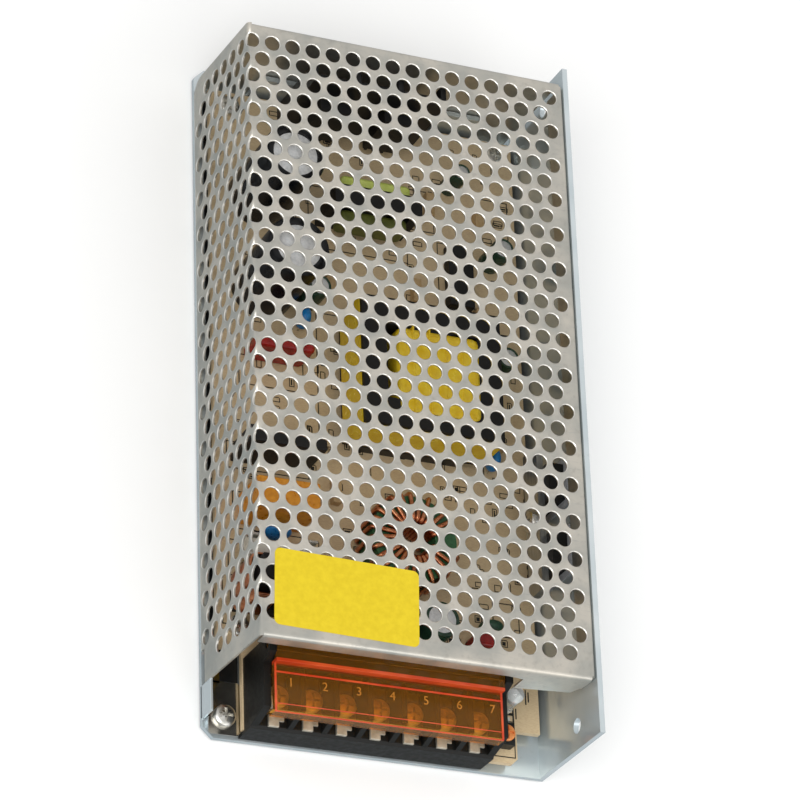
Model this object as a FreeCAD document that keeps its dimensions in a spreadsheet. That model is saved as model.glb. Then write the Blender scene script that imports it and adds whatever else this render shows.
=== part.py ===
import FreeCAD, Part
import math
import os
import re
import Sketcher
from FreeCAD import Rotation, Vector

# Enclosed switching power supply for LED lighting, 199 x 98 x 38 mm.
# Frame: X to the right, Y from the terminals to the back, Z up, origin at the floor's centre.
# The terminals are at the -Y end and the full-height chassis wall is on the +X side.

doc = FreeCAD.newDocument("led_power_supply")
sheet = doc.addObject("Spreadsheet::Sheet", "sizes")

driving_sizes = {
    # case
    "case_length": 199.0, "case_width": 98.0, "case_height": 38.0, "chassis_sheet": 1.5,
    "floor_corner": 3.0, "cover_sheet": 0.8, "cover_bend": 1.6, "cover_side_inset": 1.2,
    "cover_wall_gap": 0.2, "cover_front_inset": 14.2, "cover_back_inset": 4.9,
    "floor_gap": 0.3, "lip_drop": 5.0, "side_flange_drop": 9.0, "wall_corner": 5.0,
    # tab that hangs from the front lip beside the terminals
    "tab_drop": 11.0, "tab_clearance": 0.8, "tab_taper": 3.6,
    # perforation
    "hole_pitch": 11.9, "row_pitch": 10.3, "hole_diameter": 8.6, "hole_margin": 6.4, "wall_margin": 0.6,
    # adhesive plate on the cover
    "label_length": 40.0, "label_width": 21.0, "label_sheet": 0.1, "label_side_inset": 4.8,
    "label_front_inset": 3.2,
    # foot of the cover on its chassis seat, and the rear lugs
    "seat_rise": 1.7, "seat_setback": 1.2, "seat_length": 10.5, "seat_width": 7.4,
    "foot_width": 7.6, "foot_reach": 13.3, "foot_back": 9.5,
    "lug_height": 14.0, "lug_width": 12.0, "lug_spacing": 56.0, "lug_screw_height": 8.5,
    # fixings of the case
    "screw_head": 2.9, "screw_head_height": 1.9, "mount_hole": 2.1,
    "mount_spacing_across": 50.0, "mount_end_inset": 24.5, "film_hole": 5.0,
    "wall_hole": 2.1, "wall_hole_height": 25.0, "wall_hole_spacing": 186.0,
    # board
    "standoff_height": 3.0, "standoff_radius": 3.0, "board_sheet": 1.6, "board_gap": 1.2,
    "board_wall_gap": 1.5, "board_step": 10.7, "board_step_width": 7.0, "board_nose": 1.4,
    "notch_width": 6.8, "notch_length": 22.1, "film_sheet": 0.3, "film_margin": 0.5,
    "board_screw_x": 40.5, "front_screw_y": -69.5, "back_screw_y": 86.5,
    # terminal block
    "pole_count": 7.0, "barrier": 1.5, "end_wall": 2.0, "pole_play": 0.4,
    "block_left_inset": 9.8, "block_right_inset": 19.2, "block_front_inset": 0.3, "block_depth": 20.8,
    "block_skirt": 4.0, "block_skirt_sheet": 1.0, "block_height": 13.9, "bay_floor": 4.9,
    "block_rear": 6.0, "barrier_setback": 2.6,
    "ear_rise": 4.4, "ear_depth": 4.6, "pivot_inset": 2.4, "pivot_rise": 2.5,
    "pivot_radius": 1.0, "pivot_play": 0.08,
    "contact_sheet": 1.0, "contact_nose": 3.2, "contact_setback": 0.6, "contact_nose_length": 3.0,
    "contact_back_gap": 2.4, "clamp_sheet": 1.0, "terminal_screw_margin": 0.5,
    "terminal_screw_head_height": 2.5, "terminal_screw_setback": 7.8,
    # hinged amber cover
    "flap_sheet": 1.4, "flap_rise": 0.3, "flap_play": 0.3, "flap_step": 2.0,
    "flap_step_setback": 13.7, "flap_skirt": 2.4, "flap_overhang": 0.7, "barrel_radius": 1.3,
    # lamp and adjuster beside the terminals
    "lamp_side_inset": 13.9, "lamp_front_inset": 16.2, "lamp_radius": 2.2, "lamp_height": 12.9,
    "trimmer_side_inset": 13.1, "trimmer_front_inset": 8.5, "trimmer_side": 6.4, "trimmer_height": 3.4,
    "rotor_radius": 2.3, "rotor_height": 1.0, "rotor_pin": 1.2, "rotor_pin_length": 1.6,
    "rotor_play": 0.06, "rotor_bore_spare": 0.3, "rotor_slot": 0.7, "rotor_slot_depth": 0.5,
    # case that the places of the bought parts on the board are given for
    "design_length": 199.0, "design_width": 98.0, "design_height": 38.0,
    # mains fuse and its clips
    "fuse_x": -30.0, "fuse_y": -48.5, "fuse_radius": 2.5, "fuse_length": 20.0, "fuse_rise": 5.0,
    "clip_reach": 7.5, "clip_length": 4.5, "clip_width": 6.4, "clip_height": 7.5, "clip_sheet": 0.6,
    # boxed capacitors of the mains side
    "x_capacitor_x": -31.0, "x_capacitor_y": -36.0, "x_capacitor_length": 18.0,
    "x_capacitor_depth": 8.5, "x_capacitor_height": 14.5,
    "film_capacitor_x": -29.5, "film_capacitor_y": 6.0, "film_capacitor_length": 16.5,
    "film_capacitor_depth": 5.5, "film_capacitor_height": 11.0,
    # discs
    "disc_radius": 4.2, "disc_sheet": 2.6, "disc_rise": 4.5, "rear_disc_x": -24.0, "rear_disc_y": 17.5,
    "front_disc_x": -31.0, "front_disc_y": -43.1, "right_disc_x": 30.0, "right_disc_y": -20.0,
    "thermistor_x": -17.5, "thermistor_y": -56.0, "thermistor_radius": 5.5, "thermistor_sheet": 4.0,
    "thermistor_rise": 5.8,
    # line filter choke
    "line_core_x": -33.5, "line_core_y": -62.0, "line_core_length": 18.0, "line_core_depth": 7.0,
    "line_core_height": 24.0, "line_leg": 4.5, "line_coil_length": 8.4, "line_coil_depth": 12.0,
    "line_coil_height": 13.6, "line_coil_lift": 5.2, "coil_play": 0.1,
    # smoothing capacitors and rectifier of the mains side
    "bulk_radius": 9.0, "bulk_height": 27.0, "bulk_rear_x": -32.2, "bulk_rear_y": 59.2,
    "bulk_front_x": -31.8, "bulk_front_y": 31.0, "bridge_x": -31.0, "bridge_y": -20.0,
    "bridge_length": 22.0, "bridge_depth": 4.6, "bridge_height": 15.0, "bridge_lift": 0.2,
    # rear heatsink and the switching transistors on it
    "heatsink_x": -6.0, "heatsink_inset": 1.6, "heatsink_length": 40.0, "heatsink_depth": 6.0,
    "heatsink_height": 26.0, "heatsink_web": 2.5, "heatsink_fin": 1.6,
    "left_switch_x": -16.0, "right_switch_x": 3.0, "switch_length": 10.0, "switch_depth": 4.5,
    "switch_height": 15.5, "switch_lift": 4.0, "leg_width": 0.8, "leg_sheet": 0.6, "leg_pitch": 2.5,
    # output rectifiers and their clamp
    "pad_sheet": 0.4, "pad_length": 14.0, "pad_lift": 3.0, "device_sheet": 4.6, "device_length": 10.4,
    "device_margin": 1.5, "device_flange_gap": 2.9, "device_spacing": 20.0, "clamp_bar_sheet": 2.0,
    "clamp_bar_length": 42.0, "clamp_bar_height": 8.0, "clamp_y": -33.0, "clamp_rise": 13.0,
    # driver transformer
    "driver_x": -2.5, "driver_y": 56.8, "driver_length": 26.0, "driver_depth": 6.0, "driver_height": 15.0,
    "driver_window_length": 20.6, "driver_window_height": 8.6, "driver_leg": 7.0, "driver_sill": 4.2,
    "driver_coil_length": 20.0, "driver_coil_depth": 15.2, "driver_coil_height": 8.2,
    # main transformer
    "core_x": 10.0, "core_y": 5.6, "core_length": 41.0, "core_depth": 38.0, "core_height": 16.0,
    "bobbin_height": 3.0, "rail_length": 30.0, "rail_depth": 5.0, "window_length": 27.0,
    "window_depth": 22.0, "leg_side": 12.0, "winding_gap": 0.3, "winding_height": 17.6,
    "tape_sheet": 0.3, "tape_height": 13.0,
    # output choke
    "choke_x": 6.3, "choke_y": -42.0, "choke_inner": 6.0, "choke_outer": 12.2, "choke_height": 9.6,
    "choke_wire": 1.4, "choke_turns": 22.0, "choke_gap": 0.1, "choke_wound_angle": 324.0,
    # electrolytic cans
    "output_can_radius": 5.0, "output_can_height": 19.0, "left_output_x": -14.8, "left_output_y": -67.8,
    "middle_output_x": -2.5, "middle_output_y": -67.8, "right_output_x": 9.8, "right_output_y": -67.8,
    "supply_can_radius": 3.2, "supply_can_height": 10.0, "lamp_supply_x": 27.5, "lamp_supply_y": -67.0,
    "right_back_supply_x": 37.4, "right_back_supply_y": 51.5, "right_supply_x": 37.4,
    "right_supply_y": 17.5, "left_supply_x": -18.5, "left_supply_y": 30.0,
    "small_can_radius": 2.6, "small_can_height": 10.0, "back_supply_x": 25.6, "back_supply_y": 73.5,
    # control chip and the lying resistors
    "chip_x": 27.0, "chip_y": 44.0, "chip_length": 6.5, "chip_depth": 19.0, "chip_height": 3.4,
    "chip_lift": 0.6, "chip_leg_reach": 3.5,
    "resistor_side": 2.4, "resistor_length": 7.0, "resistor_lift": 0.1,
    "resistor_a_x": 14.0, "resistor_a_y": 38.0, "resistor_b_x": 19.0, "resistor_b_y": 66.0,
    "resistor_c_x": -12.0, "resistor_c_y": 36.0, "resistor_d_x": 33.0, "resistor_d_y": 32.0,
    "resistor_e_x": 37.0, "resistor_e_y": -4.0, "resistor_f_x": -12.0, "resistor_f_y": -27.0,
    "resistor_g_x": 34.0, "resistor_g_y": 64.0,
}

# Sizes that follow from the driving ones: poles that fill the block between its two insets, and how the
# bought parts keep their share of the board and give way in a smaller case
fixed_ends = ("(cover_front_inset + foot_back + cover_back_inset + cover_sheet + chassis_sheet"
              " + 2 * film_margin)")
derived_sizes = {
    "pole_pitch": "(case_width - block_left_inset - block_right_inset - 2 * end_wall + barrier)"
                  " / pole_count",
    "clamp_side": "pole_pitch - barrier - 2 * pole_play",
    "contact_width": "clamp_side - 2 * pole_play",
    "terminal_screw_head": "clamp_side / 2 - terminal_screw_margin",
    "across": "case_width / design_width",
    "along": "(case_length - %s) / (design_length - %s)" % (fixed_ends, fixed_ends),
    "shrink": "min(1; case_width / design_width; case_length / design_length)",
    "squeeze": "min(1; case_height / design_height)",
}

cells = {alias: str(value) for alias, value in driving_sizes.items()}
cells.update({alias: "=" + expression for alias, expression in derived_sizes.items()})
for row, (alias, value) in enumerate(cells.items(), start=1):
    sheet.setAlias("A%d" % row, alias)
for row, value in enumerate(cells.values(), start=1):
    sheet.set("A%d" % row, value)
doc.recompute()

nodes = []

# Levels and faces that several pieces share, as expressions of the sizes above
floor_top = "chassis_sheet"
board_bottom = "(chassis_sheet + standoff_height)"
board_top = "(chassis_sheet + standoff_height + board_sheet)"
cover_left = "(cover_side_inset - case_width / 2)"
cover_front = "(cover_front_inset - case_length / 2)"
cover_back_inner = "(case_length / 2 - cover_back_inset - cover_sheet)"
wall_inner = "(case_width / 2 - chassis_sheet)"
block_left = "(block_left_inset - case_width / 2)"
block_length = "(pole_count * pole_pitch - barrier + 2 * end_wall)"
block_front = "(block_front_inset - case_length / 2)"
block_top = board_top + " + block_height"
bay_level = board_top + " + bay_floor"
pivot_y = "(" + block_front + " + block_depth - pivot_inset)"
pivot_z = "(" + block_top + " + pivot_rise)"
clamp_face = "(" + wall_inner + " - pad_sheet - device_sheet - clamp_bar_sheet)"
clamp_z = "(" + board_top + " + clamp_rise)"
inner_front = "(cover_front_inset + foot_back + film_margin - case_length / 2)"
design_front = "(cover_front_inset + foot_back + film_margin - design_length / 2)"


def size(alias):
    return float(sheet.get(alias))


def bound(expression):
    """Name the spreadsheet in front of each size that an expression uses."""
    return re.sub(r"[a-z_]+", lambda word: "sizes." + word.group()
                  if word.group() in cells else word.group(), expression)


def bind(item, **expressions):
    for name, expression in expressions.items():
        item.setExpression(name, bound(expression))


def place(item, x, y, z):
    for axis, expression in (("x", x), ("y", y), ("z", z)):
        item.setExpression("Placement.Base." + axis, bound(expression))
    return item


def board_y(name):
    """Place along the board of a bought part, which keeps its share of the board's length."""
    return "(%s + (%s_y - %s) * along)" % (inner_front, name, design_front)


def board_place(name):
    return "%s_x * across" % name, board_y(name)


def node(item, label):
    item.Label = label
    nodes.append(item)
    return item


def box(name, length, width, height, x, y, z):
    """A box whose x and y are its centre and whose z is its underside."""
    item = doc.addObject("Part::Box", name)
    bind(item, Length=length, Width=width, Height=height)
    return place(item, "%s - (%s) / 2" % (x, length), "%s - (%s) / 2" % (y, width), z)


def rod(name, radius, height, x, y, z, toward=Vector(0, 0, 1)):
    """A cylinder that starts at x, y, z and runs toward the given direction."""
    item = doc.addObject("Part::Cylinder", name)
    item.Placement.Rotation = Rotation(Vector(0, 0, 1), toward)
    bind(item, Radius=radius, Height=height)
    return place(item, x, y, z)


def prism(name, sides, radius, height, x, y, z):
    """An upright many-sided rod."""
    item = doc.addObject("Part::Prism", name)
    item.Polygon = sides
    bind(item, Circumradius=radius, Height=height)
    return place(item, x, y, z)


def joined(name, *items):
    item = doc.addObject("Part::MultiFuse", name)
    item.Shapes = list(items)
    return item


def less(name, base, *tools):
    item = doc.addObject("Part::Cut", name)
    item.Base = base
    item.Tool = tools[0] if len(tools) == 1 else joined(name + "_tools", *tools)
    return item


def group(label, items):
    item = doc.addObject("Part::Compound", label)
    item.Links = list(items)
    return node(item, label)


def body_of(label):
    return node(doc.addObject("PartDesign::Body", label), label)


def origin_of(body, role):
    return next(feature for feature in body.Origin.OriginFeatures if feature.Role == role)


def new_sketch(body, name, role, offset):
    sketch = body.newObject("Sketcher::SketchObject", name)
    sketch.AttachmentSupport = (origin_of(body, role), [""])
    sketch.MapMode = "FlatFace"
    sketch.setExpression("AttachmentOffset.Base.z", bound(offset))
    return sketch


def fix(sketch, kind, geometry, point, expression, start):
    """Dimension one point of a sketch from its origin."""
    index = sketch.addConstraint(Sketcher.Constraint(kind, -1, 1, geometry, point, start))
    sketch.setExpression("Constraints[%d]" % index, bound(expression))


def outline(body, name, role, corners, offset="0"):
    """A closed outline whose corners are given as pairs of expressions."""
    sketch = new_sketch(body, name, role, offset)
    count = len(corners)
    reach = size("case_width") / 10
    start = [Vector(reach * math.cos(2 * math.pi * k / count), reach * math.sin(2 * math.pi * k / count), 0)
             for k in range(count)]
    for k in range(count):
        sketch.addGeometry(Part.LineSegment(start[k], start[(k + 1) % count]))
    for k in range(count):
        sketch.addConstraint(Sketcher.Constraint("Coincident", k, 2, (k + 1) % count, 1))
    for k, (across, up) in enumerate(corners):
        fix(sketch, "DistanceX", k, 1, across, start[k].x)
        fix(sketch, "DistanceY", k, 1, up, start[k].y)
    return sketch


def circles(body, name, role, centres, radius, offset="0"):
    """Equal circles whose centres are given as pairs of expressions."""
    sketch = new_sketch(body, name, role, offset)
    reach = size("chassis_sheet")
    for k, (across, up) in enumerate(centres):
        start = Vector(3 * reach * (k + 1), reach * (k + 1), 0)
        sketch.addGeometry(Part.Circle(start, Vector(0, 0, 1), reach))
        fix(sketch, "DistanceX", k, 3, across, start.x)
        fix(sketch, "DistanceY", k, 3, up, start.y)
        index = sketch.addConstraint(Sketcher.Constraint("Radius", k, reach))
        sketch.setExpression("Constraints[%d]" % index, bound(radius))
    return sketch


def pad(body, sketch, length):
    feature = body.newObject("PartDesign::Pad", sketch.Name + "_pad")
    feature.Profile = sketch
    feature.setExpression("Length", bound(length))
    sketch.Visibility = False
    return feature


def drill(body, sketch):
    """Cut a sketch through the whole body, both ways."""
    feature = body.newObject("PartDesign::Pocket", sketch.Name + "_cut")
    feature.Profile = sketch
    feature.Type = "ThroughAll"
    feature.Midplane = True
    return feature


def rectangle(x_low, x_high, y_low, y_high):
    return [(x_low, y_low), (x_high, y_low), (x_high, y_high), (x_low, y_high)]


# Folded chassis: floor, full-height right wall, seat for the cover's foot and two rear lugs
def make_base_chassis():
    body = body_of("base_chassis")
    half_width, half_length = "case_width / 2", "case_length / 2"
    floor = outline(body, "floor_outline", "XY_Plane", [
        ("floor_corner - case_width / 2", "-case_length / 2"),
        (half_width, "-case_length / 2"), (half_width, half_length),
        ("floor_corner - case_width / 2", half_length),
        ("-case_width / 2", "case_length / 2 - floor_corner"),
        ("-case_width / 2", "floor_corner - case_length / 2")])
    pad(body, floor, "chassis_sheet")
    wall = outline(body, "wall_outline", "XY_Plane",
                   rectangle(wall_inner, half_width, "-case_length / 2", half_length))
    pad(body, wall, "case_height")
    seat_back = cover_front + " - seat_setback"
    seat_left = cover_left
    seat = outline(body, "seat_outline", "XZ_Plane", [
        (seat_left, "0"), (seat_left + " + chassis_sheet", "0"),
        (seat_left + " + chassis_sheet", "chassis_sheet + seat_rise - chassis_sheet / 2"),
        (seat_left + " + seat_width", "chassis_sheet + seat_rise - chassis_sheet / 2"),
        (seat_left + " + seat_width", "chassis_sheet + seat_rise"),
        (seat_left, "chassis_sheet + seat_rise")], offset="-(%s)" % seat_back)
    pad(body, seat, "seat_length")
    lug_front = cover_back_inner + " - chassis_sheet"
    for side, name in (("-", "left"), ("", "right")):
        centre = side + "lug_spacing / 2"
        lug = outline(body, name + "_lug_outline", "XY_Plane", rectangle(
            centre + " - lug_width / 2", centre + " + lug_width / 2", lug_front, cover_back_inner))
        pad(body, lug, "lug_height")
    drill(body, circles(body, "mount_holes", "XY_Plane", mount_places(), "mount_hole"))
    wall_holes = circles(body, "wall_holes", "YZ_Plane", [
        ("wall_hole_spacing / 2", "wall_hole_height"),
        ("-wall_hole_spacing / 2", "wall_hole_height")], "wall_hole", offset=half_width)
    cut = body.newObject("PartDesign::Pocket", "wall_holes_cut")
    cut.Profile = wall_holes
    cut.setExpression("Length", bound("2 * chassis_sheet"))


def hexagon(centre, across, up, radius):
    """Six-sided wire round a centre, in the plane of two unit vectors."""
    ring = [centre + across * (radius * math.cos(math.radians(60 * k + 30)))
            + up * (radius * math.sin(math.radians(60 * k + 30))) for k in range(6)]
    return Part.makePolygon(ring + ring[:1])


def plate(corners, holes, thickness):
    """A flat sheet with openings, thickened by a vector."""
    outer = Part.makePolygon(corners + corners[:1])
    return Part.makeFace([outer] + holes, "Part::FaceMakerBullseye").extrude(thickness)


def bend(corner, first, second, run):
    """A quarter-round fold between two sheets, extruded along run.

    corner is where the outer faces would meet; first and second point along the two sheets.
    """
    outer, thick = size("cover_bend"), size("cover_sheet")
    inner = outer - thick
    centre = corner + first * outer + second * outer
    half = (first + second) * (-1 / math.sqrt(2))
    rim = [Part.Arc(centre - second * radius, centre + half * radius, centre - first * radius).toShape()
           for radius in (outer, inner)]
    ends = [Part.makeLine(centre - second * outer, centre - second * inner),
            Part.makeLine(centre - first * outer, centre - first * inner)]
    return Part.Face(Part.Wire(Part.__sortEdges__(rim + ends))).extrude(run)


# Perforated sheet: top, left wall, back flange, front lip, hanging tab and foot, folded from one blank
def make_perforated_cover():
    right_x, up_z, back_y = Vector(1, 0, 0), Vector(0, 0, 1), Vector(0, 1, 0)
    thick, fold, top = size("cover_sheet"), size("cover_bend"), size("case_height")
    left = size("cover_side_inset") - size("case_width") / 2
    right = size("case_width") / 2 - size("chassis_sheet") - size("cover_wall_gap")
    front = size("cover_front_inset") - size("case_length") / 2
    back = size("case_length") / 2 - size("cover_back_inset")
    bottom = size("chassis_sheet") + size("floor_gap")
    seat_top = size("chassis_sheet") + size("seat_rise")

    foot_back = front + size("foot_back")
    step, margin = size("row_pitch"), size("hole_margin")
    radius = size("hole_diameter") * math.sqrt(math.pi / (6 * math.sqrt(3)))
    rows = int((back - front - 2 * margin) / step) + 1
    first_row = (back + front + (rows - 1) * step) / 2
    first_hole = left + fold + radius
    gaps = round((right - fold - radius - first_hole) / size("hole_pitch"))
    pitch = (right - fold - radius - first_hole) / gaps
    low_hole = bottom + size("wall_margin") + radius
    wall_gaps = round((top - fold - size("wall_margin") - radius - low_hole) / size("hole_pitch"))
    rise = (top - fold - size("wall_margin") - radius - low_hole) / wall_gaps

    # every second row is shifted by half a pitch and has one hole fewer; the foot takes a low hole's room
    top_holes, wall_holes = [], []
    for row in range(rows):
        y, odd = first_row - row * step, row % 2
        for k in range(gaps + 1 - odd):
            x = first_hole + (k + odd / 2) * pitch
            top_holes.append(hexagon(Vector(x, y, top), right_x, back_y, radius))
        for k in range(wall_gaps + 1 - odd):
            z = low_hole + (k + odd / 2) * rise
            if y - radius > foot_back or z - radius > seat_top + thick:
                wall_holes.append(hexagon(Vector(left, y, z), back_y, up_z, radius))

    roof = plate([Vector(left + fold, front + fold, top), Vector(right - fold, front + fold, top),
                  Vector(right - fold, back - fold, top), Vector(left + fold, back - fold, top)],
                 top_holes, up_z * -thick)
    corner = size("wall_corner")
    wall = plate([Vector(left, front, top - fold), Vector(left, front, seat_top),
                  Vector(left, foot_back, seat_top), Vector(left, foot_back, bottom),
                  Vector(left, back - corner, bottom), Vector(left, back - corner / 3, bottom + corner / 3),
                  Vector(left, back, bottom + corner), Vector(left, back, top - fold)],
                 wall_holes, right_x * thick)
    foot = plate([Vector(left, front - size("foot_reach"), seat_top),
                  Vector(left + size("foot_width"), front - size("foot_reach"), seat_top),
                  Vector(left + size("foot_width"), foot_back, seat_top),
                  Vector(left, foot_back, seat_top)], [], up_z * thick)
    side_flange = plate([Vector(right, front + fold, top - fold), Vector(right, back - fold, top - fold),
                         Vector(right, back - fold, top - size("side_flange_drop")),
                         Vector(right, front + fold, top - size("side_flange_drop"))],
                        [], right_x * -thick)
    back_flange = plate([Vector(left + fold, back, top - fold), Vector(right - fold, back, top - fold),
                         Vector(right - fold, back, bottom), Vector(left + fold, back, bottom)],
                        [], back_y * -thick)
    tab_left = (size("block_left_inset") - size("case_width") / 2 + size("pole_count") * size("pole_pitch")
                - size("barrier") + size("end_wall") + size("tab_clearance"))
    lip_low, tab_low = top - size("lip_drop"), top - size("tab_drop")
    lip = plate([Vector(left + fold, front, top - fold), Vector(left + fold, front, lip_low),
                 Vector(tab_left, front, lip_low), Vector(tab_left, front, tab_low),
                 Vector(right - fold - size("tab_taper"), front, tab_low),
                 Vector(right - fold, front, lip_low), Vector(right - fold, front, top - fold)],
                [], back_y * thick)
    folds = [
        bend(Vector(left, front, top), right_x, up_z * -1, back_y * (back - front)),
        bend(Vector(right, front + fold, top), right_x * -1, up_z * -1, back_y * (back - front - 2 * fold)),
        bend(Vector(left + fold, back, top), back_y * -1, up_z * -1, right_x * (right - left - 2 * fold)),
        bend(Vector(left + fold, front, top), back_y, up_z * -1, right_x * (right - left - 2 * fold))]
    cover = doc.addObject("Part::Feature", "perforated_cover")
    cover.Shape = roof.fuse([wall, foot, side_flange, back_flange, lip] + folds).removeSplitter()
    node(cover, "perforated_cover")
    print("holes in the top and the side wall:", len(top_holes), len(wall_holes))


# Plain adhesive plate near the front-left corner of the cover
def make_cover_label():
    node(box("cover_label", "label_length", "label_width", "label_sheet",
             cover_left + " + label_side_inset + label_length / 2",
             cover_front + " + label_front_inset + label_width / 2", "case_height"), "cover_label")


# Pan heads of the cover's screws: one on the foot, two on the back flange
def make_cover_screws():
    back_face = cover_back_inner + " + cover_sheet"
    group("cover_screws", [
        rod("foot_screw", "screw_head", "screw_head_height", cover_left + " + foot_width / 2",
            cover_front + " - seat_setback - seat_length * 3 / 4",
            "chassis_sheet + seat_rise + cover_sheet"),
        rod("left_back_screw", "screw_head", "screw_head_height", "-lug_spacing / 2", back_face,
            "lug_screw_height", Vector(0, 1, 0)),
        rod("right_back_screw", "screw_head", "screw_head_height", "lug_spacing / 2", back_face,
            "lug_screw_height", Vector(0, 1, 0))])


# Insulating film on the floor, opened round the standoffs and mounting holes
def make_insulating_sheet():
    body = body_of("insulating_sheet")
    film = outline(body, "film_outline", "XY_Plane", rectangle(
        cover_left + " + cover_sheet + film_margin", wall_inner + " - film_margin",
        cover_front + " + foot_back + film_margin",
        cover_back_inner + " - chassis_sheet - film_margin"), offset=floor_top)
    pad(body, film, "film_sheet")
    for k, (x, y) in enumerate(board_screw_places() + mount_places()):
        opening = outline(body, "film_opening_%d" % k, "XY_Plane", rectangle(
            x + " - film_hole * shrink", x + " + film_hole * shrink",
            y + " - film_hole * shrink", y + " + film_hole * shrink"))
        drill(body, opening)


def mount_places():
    return [(side + "mount_spacing_across / 2 * across", end + "(case_length / 2 - mount_end_inset)")
            for side in ("", "-") for end in ("", "-")]


def board_screw_places():
    return [(side + "board_screw_x * across", board_y(end))
            for end in ("front_screw", "back_screw") for side in ("-", "")]


# Board: notched at the front left for the cover's foot, stepped at the front right
def make_circuit_board():
    body = body_of("circuit_board")
    left = cover_left + " + cover_sheet + board_gap / 2"
    right = wall_inner + " - board_wall_gap"
    front = "board_nose - case_length / 2"
    step_y = front + " + board_step - board_nose"
    step_x = right + " - board_step_width"
    back = cover_back_inner + " - chassis_sheet - board_gap"
    notch_x = left + " + notch_width"
    notch_y = front + " + notch_length"
    board = outline(body, "board_outline", "XY_Plane", [
        (notch_x, front), (step_x + " - 1.5", front), (step_x, front + " + 1.5"), (step_x, step_y),
        (right, step_y), (right, back), (left, back), (left, notch_y), (notch_x, notch_y)],
        offset=board_bottom)
    pad(body, board, "board_sheet")


# Pillars under the board and the pan heads on top of it, with the clamp bar's screw
def make_board_fixings():
    places = list(enumerate(board_screw_places(), start=1))
    group("board_standoffs", [
        rod("standoff_%d" % k, "standoff_radius * shrink", "standoff_height", x, y, floor_top)
        for k, (x, y) in places])
    heads = [rod("board_screw_%d" % k, "screw_head * shrink", "screw_head_height", x, y, board_top)
             for k, (x, y) in places]
    heads.append(rod("clamp_screw", "screw_head", "screw_head_height", clamp_face, board_y("clamp"), clamp_z,
                     Vector(-1, 0, 0)))
    group("inner_screws", heads)


# Moulded barrier block: base with a skirt over the board's edge, rear body, barriers between the poles
# and two end walls with ears
def make_terminal_block():
    body = body_of("terminal_block")
    rear_front = block_front + " + block_depth - block_rear"
    rear = block_front + " + block_depth"
    base = outline(body, "block_profile", "YZ_Plane", [
        (block_front, board_top + " - block_skirt"),
        (block_front + " + block_skirt_sheet", board_top + " - block_skirt"),
        (block_front + " + block_skirt_sheet", board_top),
        (rear, board_top), (rear, block_top), (rear_front, block_top),
        (rear_front, bay_level), (block_front + " + 0.8", bay_level),
        (block_front, bay_level + " - 0.8")], offset=block_left)
    pad(body, base, block_length)
    barrier_shape = [
        (block_front + " + 0.6", bay_level), (rear_front, bay_level), (rear_front, block_top),
        (block_front + " + barrier_setback", block_top)]
    barrier_profile = outline(body, "barrier_profile", "YZ_Plane", barrier_shape,
                              offset=block_left + " + end_wall + pole_pitch - barrier")
    barrier_pad = pad(body, barrier_profile, "barrier")
    pattern = body.newObject("PartDesign::LinearPattern", "barriers")
    pattern.Originals = [barrier_pad]
    pattern.Direction = (origin_of(body, "X_Axis"), [""])
    pattern.Mode = "Spacing"
    pattern.setExpression("Offset", bound("pole_pitch"))
    pattern.setExpression("Occurrences", bound("pole_count - 1"))
    body.Tip = pattern
    ear_top = block_top + " + ear_rise"
    for name, offset in (("left", block_left), ("right", block_left + " + " + block_length + " - end_wall")):
        wall = outline(body, name + "_end_profile", "YZ_Plane", [
            (block_front + " + 0.6", bay_level), (rear + " - 0.5", bay_level), (rear + " - 0.5", ear_top),
            (rear + " - ear_depth", ear_top), (rear + " - ear_depth - 1.5", block_top),
            (block_front + " + barrier_setback", block_top)], offset=offset)
        pad(body, wall, "end_wall")
    drill(body, circles(body, "pivot_holes", "YZ_Plane", [(pivot_y, pivot_z)],
                        "pivot_radius + pivot_play"))


def pole_x(k):
    return "(%s + end_wall + (pole_pitch - barrier) / 2 + %d * pole_pitch)" % (block_left, k)


# Plated strips, clamp plates and screw heads, one of each for every pole
def make_terminal_metal():
    contacts, clamps, screws = [], [], []
    screw_y = block_front + " + terminal_screw_setback"
    rear_front = block_front + " + block_depth - block_rear"
    for k in range(int(size("pole_count"))):
        x = pole_x(k)
        nose_y = block_front + " + contact_setback"
        flat_length = "(block_depth - block_rear - contact_setback - contact_back_gap)"
        flat = box("contact_flat_%d" % k, "contact_width", flat_length, "contact_sheet",
                   x, rear_front + " - " + flat_length + " / 2", bay_level)
        nose = box("contact_nose_%d" % k, "contact_nose", "contact_nose_length", "contact_sheet",
                   x, nose_y + " + contact_nose_length / 2", bay_level)
        contacts.append(joined("contact_%d" % k, flat, nose))
        plate_z = bay_level + " + contact_sheet"
        clamps.append(box("clamp_%d" % k, "clamp_side", "clamp_side", "clamp_sheet", x, screw_y, plate_z))
        screws.append(prism("terminal_screw_%d" % k, 16, "terminal_screw_head",
                            "terminal_screw_head_height", x, screw_y, plate_z + " + clamp_sheet"))
    group("terminal_contacts", contacts)
    group("terminal_clamps", clamps)
    group("terminal_screws", screws)


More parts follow.
